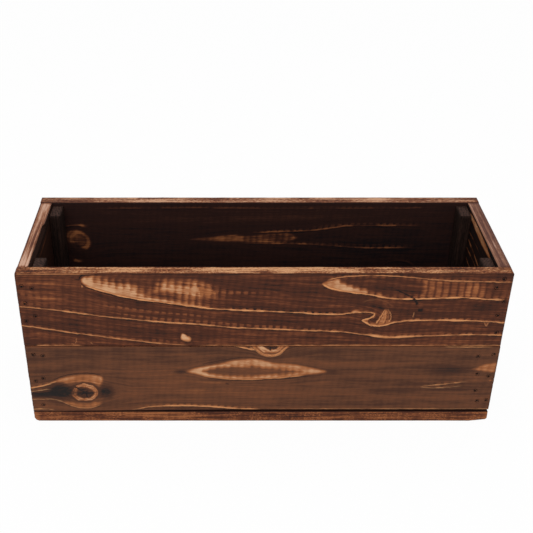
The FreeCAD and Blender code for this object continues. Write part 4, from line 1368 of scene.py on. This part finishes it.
# ------------------------------------------------------------------ materials
def four(colour, share=1.0):
    """A colour, or a darker or paler share of it, with its alpha."""
    return (*(share * part for part in colour), 1.0)


def start_material(name):
    material = bpy.data.materials.new(name)
    material.use_nodes = True
    material.node_tree.nodes.clear()
    return material, Wires(material.node_tree)


def finish_wood(wires, colour, roughness, height, depth, gloss):
    bump = wires.node("ShaderNodeBump", {"Strength": 1.0, "Distance": depth * MM, "Height": height})
    shader = wires.node("ShaderNodeBsdfPrincipled", {
        "Base Color": colour, "Roughness": roughness, "Specular IOR Level": gloss,
        "Normal": bump.outputs[0]})
    wires.node("ShaderNodeOutputMaterial", {"Surface": shader.outputs[0]})


def scorch_colour(wires, heat, colours):
    stages = {name.title(): four(getattr(colours, name))
              for name in ("spared", "toasted", "browned", "burnt", "charred")}
    return wires.group("Scorch Colour", Heat=heat, **stages)


def face_material(name, scene, ground, broad, spread, patch_heat, line_heat, line_power, tint=WHITE,
                  tint_floor=1.0):
    """A broad face: scorched ground, spared patches, bright lines, knots, cracks and soot."""
    material, w = start_material(name)
    colours, pitch = scene.window_box_colours, scene.window_box_sizes.chatter_pitch / MM
    along, flow, seed = w.field("grain")
    tone, soot, pit = w.field("tone")
    corner, ends, _ = w.field("edge")
    grain = w.group("Softwood Grain", Along=along, Across=flow, Seed=seed)
    chatter = w.group("Planer Chatter", Along=along, Across=flow, Seed=seed, Pitch=pitch)
    streaks, lines, rings, fibres, fade = (
        grain[key] for key in ("Streaks", "Lines", "Rings", "Fibres", "Fade"))
    saw, score, wave = (chatter[key] for key in ("Saw", "Score", "Wave"))

    heat = w.plus(tone, ground)
    for part, amount in ((streaks, broad), (fade, 0.5 * broad), (lines, 0.34 * spread),
                         (fibres, 0.22 * spread), (wave, 0.06 * spread), (rings, 0.09 * spread),
                         (score, 0.03 * spread)):
        heat = w.swing(part, amount, heat)

    inside, patch_tone, _ = w.field("patch")
    core, core_strength, comb = w.field("core")
    patch = w.group("Spared Patch", Inside=inside, Core=core, Core_Strength=core_strength,
                    Comb=comb, Saw=saw, Fibres=fibres, Lines=lines, Fade=fade)
    pale = w.times_plus(tone, 0.5, w.plus(patch_tone, patch_heat))
    for part, amount in ((lines, 0.24), (fade, 0.32), (fibres, 0.18), (saw, -0.06)):
        pale = w.swing(part, amount, pale)
    marked = w.ease(patch_tone, 0.2, 0.38, 0.0, 0.24)
    pale = w.times_plus(score, marked, pale)
    pale = w.times_plus(patch["Border"], 0.22, pale)
    pale = w.mix(patch["Core"], pale, heat)
    heat = w.mix(patch["Light"], heat, pale)

    for row in ("ticks_a", "ticks_b"):
        offset, half, strength = w.field(row)
        ticks = w.group("Toasted Ticks", Offset=offset, Half_Width=half, Strength=strength,
                        Saw=saw, Fibres=fibres)
        heat = w.mix(ticks["Light"], heat, line_heat + 0.30)
    bright = 0.0
    for row, teeth in (("lines_a", 0.95), ("lines_b", 0.95), ("lines_c", 0.30)):
        offset, half, strength = w.field(row)
        line = w.group("Spared Line", Offset=offset, Half_Width=half, Strength=strength,
                       Saw=saw, Fibres=fibres, Fade=fade)
        # Painted shade under each bright line.
        heat = w.times_plus(line["Shade"], 0.28, heat)
        heat = w.mix(w.times(line["Teeth"], teeth), heat, w.math("MINIMUM", heat, line_heat + 0.26))
        heat = w.mix(line["Light"], heat, w.math("MINIMUM", heat, line_heat))
        bright = w.math("MAXIMUM", line["Light"], bright)

    u, v, strength = w.field("knot")
    knot = w.group("Knot", Across_X=u, Across_Y=v, Strength=strength, Seed=seed)
    heat = w.mix(knot["Ring"], heat, w.swing(fibres, 0.5, patch_heat + 0.02))
    heat = w.mix(w.times(knot["Outline"], 0.5), heat, 0.95)
    heat = w.mix(knot["Heart"], heat, w.swing(lines, 0.8, 1.06))
    heat = w.mix(knot["Check"], heat, 1.3)
    offset, half, strength = w.field("crack")
    gap = w.math("ABSOLUTE", w.swing(fibres, 1.0, offset))
    crack = w.times(w.ease(gap, w.plus(half, 0.35), w.times(half, 0.4)), strength)
    heat = w.mix(crack, heat, 1.3)
    smoke = w.times(soot, w.ease(lines, 0.3, 0.62, 0.8, 1.0), clamp=True)
    heat = w.mix(smoke, heat, w.swing(fibres, 0.3, 1.28))
    wear = w.group("Edge Wear", Distance=corner, Along=along, Seed=seed)
    heat = w.mix(w.times(wear["Wear"], 0.5), heat, 0.45)
    heat = w.mix(w.ease(ends, 2.2, 0.2, 0.0, 0.35), heat, 0.95)
    # Brad pits painted near black: partly char, partly painted shade inside the hole.
    heat = w.mix(pit, heat, 1.35)

    scorch = scorch_colour(w, heat, colours)
    glow = w.times(w.minus(bright, crack, clamp=True), line_power)
    colour = w.blend(glow, scorch["Colour"], four(colours.bright_line))
    # Tint on the scorched ground: a painted grey-blue sheen on the lower front face, painted shade
    # over the char on the inside faces.
    colour = w.blend(w.ease(heat, 0.3, 0.75, tint_floor, 1.0), colour, four(tint), "MULTIPLY")
    # Painted shade deepens the brad pits further.
    colour = w.blend(w.times(pit, 0.85), colour, four(colours.charred, 0.3))
    height = w.times_plus(lines, 0.5, w.times(fibres, 0.35))
    height = w.times_plus(bright, 0.5, height)
    height = w.minus(height, w.times(crack, 2.0))
    finish_wood(w, colour, scorch["Roughness"], height, 0.16, colours.gloss)
    return material


def rim_material(name, scene, base, grit, specks, lined, orange=0.0, tint=WHITE, outer_face=0.0):
    """Planed top edges: pale wood with thin dark lines, specks and scorched arrises."""
    material, w = start_material(name)
    colours = scene.window_box_colours
    along, _, seed = w.field("grain")
    tone, _, _ = w.field("tone")
    corner, ends, depth = w.field("edge")
    drawn_out = w.times(along, 3.0 * grit)
    grain = w.group("Softwood Grain", Along=drawn_out, Across=depth, Seed=seed, Ring_Pitch=3.1)
    speck = w.noise(w.join(w.times(along, grit), w.times(depth, 0.55), seed), 1.0, 3.0, 0.8)
    heat = w.plus(tone, base)
    for part, amount in ((grain["Streaks"], 0.5 * lined), (grain["Lines"], lined),
                         (grain["Fade"], 0.30)):
        heat = w.swing(part, amount, heat)
    heat = w.times_plus(w.ease(speck, 0.36, 0.64, -specks, specks), 1.0, heat)
    heat = w.times_plus(grain["Rings"], 0.12, heat)
    edge = w.times(w.ease(corner, 2.4, 0.7), w.ease(grain["Fade"], 0.2, 0.7, 0.35, 1.0))
    heat = w.mix(w.times(edge, 0.75), heat, 0.8)
    heat = w.mix(w.ease(ends, 5.0, 0.3, 0.0, 0.5), heat, 0.8)
    scorch = scorch_colour(w, heat, colours)
    colour = w.blend(w.ease(heat, 0.40, 0.0, 0.0, 0.9), scorch["Colour"], four(colours.rim_pale))
    inwards = w.math("ABSOLUTE", w.minus(depth, outer_face))
    colour = w.blend(w.ease(inwards, 3.2, 1.2, 0.0, orange), colour, four(colours.toasted))
    colour = w.blend(1.0, colour, four(tint), "MULTIPLY")
    height = w.times_plus(grain["Lines"], 0.6, w.times(speck, 0.5))
    finish_wood(w, colour, scorch["Roughness"], height, 0.3, colours.gloss)
    return material


def edge_material(name, scene, base, spread):
    """Sawn long edges: brown with scorched and spared streaks."""
    material, w = start_material(name)
    colours = scene.window_box_colours
    along, _, seed = w.field("grain")
    tone, _, _ = w.field("tone")
    corner, ends, depth = w.field("edge")
    grain = w.group("Softwood Grain", Along=along, Across=depth, Seed=seed, Ring_Pitch=2.7)
    fleck = w.noise(w.join(w.times(along, 0.42), w.times(depth, 0.8), seed), 1.0, 4.0, 0.75)
    chatter = w.group("Planer Chatter", Along=along, Across=depth, Seed=seed)
    heat = w.plus(tone, base)
    for part, amount in ((grain["Streaks"], 0.7 * spread), (grain["Lines"], 1.3 * spread),
                         (grain["Fade"], 0.2 * spread), (chatter["Wave"], 0.08)):
        heat = w.swing(part, amount, heat)
    specks = w.times(w.ease(fleck, 0.46, 0.62), w.ease(grain["Fade"], 0.75, 0.3, 0.35, 1.3))
    heat = w.times_plus(specks, -0.85 * spread, heat)
    heat = w.times_plus(grain["Rings"], 0.30, heat)
    heat = w.math("MAXIMUM", heat, 0.30)
    wear = w.group("Edge Wear", Distance=corner, Reach=2.2, Along=along, Seed=seed)
    heat = w.mix(w.times(wear["Wear"], 0.6), heat, 0.36)
    heat = w.mix(w.ease(ends, 9.0, 1.0, 0.0, 0.65), heat, 0.30)
    scorch = scorch_colour(w, heat, colours)
    height = w.times_plus(grain["Lines"], 0.6, w.times(fleck, 0.4))
    finish_wood(w, scorch["Colour"], scorch["Roughness"], height, 0.35, colours.gloss)
    return material


def end_grain_material(name, scene, axes):
    """Sawn ends: rings, torn fuzz and scorched corners."""
    material, w = start_material(name)
    colours = scene.window_box_colours
    place = w.place()
    _, _, seed = w.field("grain")
    first, second = (place["xyz".index(axis)] for axis in axes)
    grain = w.group("End Grain", X=first, Y=second, Seed=seed)
    corner, _, _ = w.field("edge")
    heat = w.times_plus(grain["Rings"], 0.22, 0.62)
    heat = w.swing(grain["Fuzz"], 0.7, heat)
    heat = w.times_plus(w.ease(corner, 3.0, 0.5), 0.12, heat)
    scorch = scorch_colour(w, heat, colours)
    colour = w.blend(0.45, scorch["Colour"], four(colours.end_grain))
    height = w.times_plus(grain["Rings"], 0.4, grain["Fuzz"])
    finish_wood(w, colour, w.ease(grain["Fuzz"], 0.2, 0.8, 0.7, 0.85), height, 0.5, colours.gloss)
    return material


def post_material(name, scene, top):
    """Corner posts: dark rough wood; their tops are torn end grain."""
    material, w = start_material(name)
    colours = scene.window_box_colours
    along, flow, seed = w.field("grain")
    _, _, depth = w.field("edge")
    if top:
        x, y, _ = w.place()
        grain = w.group("End Grain", X=x, Y=y, Seed=seed)
        detail, fine = w.noise(w.join(x, y, seed), 0.42, 3.0, 0.7), grain["Rings"]
        middle, spread = 0.58, 1.9
    else:
        across = w.plus(flow, depth)
        grain = w.group("Softwood Grain", Along=along, Across=across, Seed=seed, Ring_Pitch=3.0)
        detail, fine = grain["Lines"], grain["Fibres"]
        middle, spread = 0.85, 0.4
    dark = w.swing(detail, spread, middle)
    dark = w.swing(fine, 0.3, dark, clamp=True)
    colour = w.blend(dark, four(colours.post_wood, 2.1), four(colours.post_wood, 0.2))
    height = w.plus(detail, w.times(fine, 0.4))
    finish_wood(w, colour, w.ease(detail, 0.2, 0.8, 0.65, 0.8), height, 0.5, colours.gloss)
    return material


def brad_material(name, scene):
    """Brads blackened by the flame, with a little bare steel left."""
    material, w = start_material(name)
    colours = scene.window_box_colours
    place = w.node("ShaderNodeTexCoord").outputs["Object"]
    scale = w.noise(place, 900.0, 3.0, 0.6)
    bare = w.ease(scale, 0.56, 0.68)
    colour = w.blend(bare, four(colours.brad_steel), four(colours.brad_steel, 3.2))
    bump = w.node("ShaderNodeBump", {"Distance": 0.05 * MM, "Height": scale})
    shader = w.node("ShaderNodeBsdfPrincipled", {
        "Base Color": colour, "Metallic": w.ease(scale, 0.5, 0.8, 0.1, 0.5),
        "Specular IOR Level": 0.12, "Roughness": w.ease(scale, 0.3, 0.7, 0.75, 0.6),
        "Normal": bump.outputs[0]})
    w.node("ShaderNodeOutputMaterial", {"Surface": shader.outputs[0]})
    return material


FINISHES = {
    "Torched Face": (face_material, dict(
        ground=0.84, broad=0.30, spread=1.05, patch_heat=0.10, line_heat=0.14, line_power=0.88)),
    # Lower front face: its grey-blue tint is a painted sheen over the burnt colour.
    "Torched Olive Face": (face_material, dict(
        ground=0.735, broad=0.22, spread=0.40, patch_heat=0.12, line_heat=0.14, line_power=0.80,
        tint=(0.99, 1.27, 1.42), tint_floor=0.0)),
    # Inside faces: darker ground and a dimming tint, partly char and partly painted shade of the
    # box's hollow.
    "Smoked Inside": (face_material, dict(
        ground=1.02, broad=0.16, spread=0.5, patch_heat=0.26, line_heat=0.22, line_power=0.0,
        tint=(0.40, 0.49, 0.74), tint_floor=0.22)),
    "Smoked End": (face_material, dict(
        ground=1.25, broad=0.10, spread=0.5, patch_heat=0.14, line_heat=0.16, line_power=0.0,
        tint=(0.36, 0.40, 0.46), tint_floor=0.0)),
    "Planed Rim": (rim_material, dict(base=0.32, grit=0.34, specks=0.24, lined=0.8)),
    "Back Rim": (rim_material, dict(
        base=0.30, grit=0.26, specks=0.24, lined=0.9, tint=(0.92, 0.98, 1.20))),
    "Weathered Rim": (rim_material, dict(
        base=0.21, grit=0.09, specks=0.08, lined=0.52, tint=(0.96, 1.13, 1.66))),
    "Greyed Rim": (rim_material, dict(
        base=0.22, grit=0.09, specks=0.08, lined=0.40, orange=0.8, tint=(0.88, 1.18, 2.05),
        outer_face=13.5)),
    "Sawn Edge 0.78": (edge_material, dict(base=0.78, spread=0.4)),
    "Sawn Edge 0.62": (edge_material, dict(base=0.62, spread=0.45)),
    "Sawn End YZ": (end_grain_material, dict(axes="yz")),
    "Sawn End XZ": (end_grain_material, dict(axes="xz")),
    "Post Side": (post_material, dict(top=False)),
    "Post Top": (post_material, dict(top=True)),
    "Blackened Brad": (brad_material, {}),
}


def finish(scene, name):
    """The named finish, made when it is first asked for."""
    make, look = FINISHES[name]
    return bpy.data.materials.get(name) or make(name, scene, **look)


def build_boards(scene, boards):
    """Builds and finishes every board of a table."""
    for node, board in boards.items():
        piece = build_board(node, board, scene.window_box_sizes)
        for name in board.finishes.values():
            piece.data.materials.append(finish(scene, name))


# ------------------------------------------------------------------ operators
class WINDOWBOX_OT_finishes(bpy.types.Operator):
    """Make the shader node groups that the finishes share"""
    bl_idname = "windowbox.finishes"
    bl_label = "Shared finishes"

    def execute(self, context):
        for make in GROUP_MAKERS:
            make()
        return {"FINISHED"}


class WINDOWBOX_OT_long_walls(bpy.types.Operator):
    """Build the four boards of the front and back walls"""
    bl_idname = "windowbox.long_walls"
    bl_label = "Long walls"

    def execute(self, context):
        build_boards(context.scene, LONG_BOARDS)
        return {"FINISHED"}


class WINDOWBOX_OT_end_walls(bpy.types.Operator):
    """Build the four boards of the end walls"""
    bl_idname = "windowbox.end_walls"
    bl_label = "End walls"

    def execute(self, context):
        build_boards(context.scene, END_BOARDS)
        return {"FINISHED"}


class WINDOWBOX_OT_base(bpy.types.Operator):
    """Build the two base boards"""
    bl_idname = "windowbox.base"
    bl_label = "Base boards"

    def execute(self, context):
        build_boards(context.scene, BASE_BOARDS)
        return {"FINISHED"}


class WINDOWBOX_OT_posts(bpy.types.Operator):
    """Build the four corner posts"""
    bl_idname = "windowbox.posts"
    bl_label = "Corner posts"

    def execute(self, context):
        build_boards(context.scene, POSTS)
        return {"FINISHED"}


class WINDOWBOX_OT_brads(bpy.types.Operator):
    """Give the brads their blackened steel"""
    bl_idname = "windowbox.brads"
    bl_label = "Brads"

    def execute(self, context):
        material = finish(context.scene, "Blackened Brad")
        for name in BRADS:
            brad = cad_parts[name]
            if not brad.material_slots:
                raise RuntimeError(f"{name} has no material slot")
            for slot in brad.material_slots:
                slot.material = material
        return {"FINISHED"}


def make_lamp(name, power, size, place, aim):
    data = bpy.data.lights.new(name, "AREA")
    data.shape = "RECTANGLE"
    data.size, data.size_y = size
    data.energy = power
    lamp = bpy.data.objects.new(name, data)
    lamp.location = place
    lamp.rotation_mode = "QUATERNION"
    lamp.rotation_quaternion = (Vector(aim) - Vector(place)).to_track_quat("-Z", "Y")
    return lamp


class WINDOWBOX_OT_studio(bpy.types.Operator):
    """Make the floor, the lamps, the surroundings and the camera"""
    bl_idname = "windowbox.studio"
    bl_label = "Studio"

    def execute(self, context):
        studio, scene = context.scene.window_box_studio, context.scene
        half = studio.floor_size / 2
        mesh = bpy.data.meshes.new("studio_floor")
        marks = np.linspace(-half, half, FLOOR_TILES + 1)
        corners = [(x, y, 0.0) for y in marks for x in marks]
        rows = np.arange(len(corners)).reshape(len(marks), len(marks))
        tiles = np.stack([rows[:-1, :-1], rows[:-1, 1:], rows[1:, 1:], rows[1:, :-1]], axis=-1)
        mesh.from_pydata(corners, [], tiles.reshape(-1, 4).tolist())
        floor = bpy.data.objects.new("studio_floor", mesh)
        scene.collection.objects.link(floor)
        mesh.materials.append(self.floor_material())

        world = bpy.data.worlds.new("Studio")
        world.use_nodes = True
        world.node_tree.nodes.clear()
        w = Wires(world.node_tree)
        seen = w.node("ShaderNodeLightPath").outputs
        shown = w.math("MAXIMUM", seen["Is Camera Ray"], seen["Is Transmission Ray"])
        strength = w.mix(shown, studio.sky, 1.0)
        light = w.node("ShaderNodeBackground", {"Color": (1, 1, 1, 1), "Strength": strength})
        w.node("ShaderNodeOutputWorld", {"Surface": light.outputs[0]})
        scene.world = world

        for name, power, size, place, aim in (
                ("front_softbox", studio.key_power, (1.6, 1.0), (-0.35, -1.7, 1.35), (0, 0, 0.09)),
                ("top_softbox", studio.top_power, (1.4, 1.4), (0.1, 0.1, 1.9), (0, 0, 0.1))):
            scene.collection.objects.link(make_lamp(name, power, size, place, aim))

        view = bpy.data.cameras.new("photo_view")
        view.lens, view.sensor_width = studio.lens, SENSOR_WIDTH
        view.shift_x, view.shift_y = studio.shift, 0.0
        view.clip_start, view.clip_end = VIEW_RANGE
        camera = bpy.data.objects.new("photo_view", view)
        camera.location = studio.eye
        camera.rotation_euler = (math.radians(90) - studio.pitch, 0, 0)
        scene.collection.objects.link(camera)
        scene.camera = camera
        scene.view_settings.view_transform = "Standard"
        return {"FINISHED"}

    def floor_material(self):
        """White to the camera, with the object's soft shadow kept."""
        material, w = start_material("Studio Floor")
        seen = w.node("ShaderNodeLightPath").outputs
        place = w.node("ShaderNodeTexCoord").outputs["Object"]
        paper = w.ease(w.noise(place, 40.0, 2.0), 0.3, 0.7, 0.0, 1.0)
        colour = w.blend(paper, (0.90, 0.90, 0.90, 1.0), (0.91, 0.91, 0.91, 1.0))
        matt = w.node("ShaderNodeBsdfDiffuse", {"Color": colour})
        glow = w.node("ShaderNodeEmission", {"Color": (1, 1, 1, 1), "Strength": 1.0})
        shown = w.math("MAXIMUM", w.math("MAXIMUM", seen["Is Camera Ray"], seen["Is Glossy Ray"]),
                       seen["Is Transmission Ray"])
        share = w.times(shown, FLOOR_GLOW)
        both = w.node("ShaderNodeMixShader", {0: share, 1: matt.outputs[0], 2: glow.outputs[0]})
        w.node("ShaderNodeOutputMaterial", {"Surface": both.outputs[0]})
        return material


OPERATORS = (
    WINDOWBOX_OT_finishes, WINDOWBOX_OT_long_walls, WINDOWBOX_OT_end_walls, WINDOWBOX_OT_base,
    WINDOWBOX_OT_posts, WINDOWBOX_OT_brads, WINDOWBOX_OT_studio)


class WINDOWBOX_PT_panel(bpy.types.Panel):
    """Window box pieces, one button each"""
    bl_idname = "WINDOWBOX_PT_panel"
    bl_label = "Scorched Window Box"
    bl_space_type = "VIEW_3D"
    bl_region_type = "UI"
    bl_category = "Window Box"

    def draw(self, context):
        for operator in OPERATORS:
            self.layout.operator(operator.bl_idname)
        for holder in (context.scene.window_box_sizes, context.scene.window_box_colours,
                       context.scene.window_box_studio):
            box = self.layout.box()
            for key in holder.__annotations__:
                box.prop(holder, key)


SETTINGS = {"window_box_sizes": WindowBoxSizes, "window_box_colours": WindowBoxColours,
            "window_box_studio": WindowBoxStudio}


def register():
    for kind in (*SETTINGS.values(), *OPERATORS, WINDOWBOX_PT_panel):
        bpy.utils.register_class(kind)
    for name, kind in SETTINGS.items():
        setattr(bpy.types.Scene, name, bpy.props.PointerProperty(type=kind))


def unregister():
    for name in SETTINGS:
        delattr(bpy.types.Scene, name)
    for kind in reversed((*SETTINGS.values(), *OPERATORS, WINDOWBOX_PT_panel)):
        bpy.utils.unregister_class(kind)


def main():
    register()
    bpy.ops.windowbox.finishes()
    bpy.ops.windowbox.long_walls()
    bpy.ops.windowbox.end_walls()
    bpy.ops.windowbox.base()
    bpy.ops.windowbox.posts()
    bpy.ops.windowbox.brads()
    bpy.ops.windowbox.studio()
    bpy.context.view_layer.update()


if __name__ == "__main__":
    main()
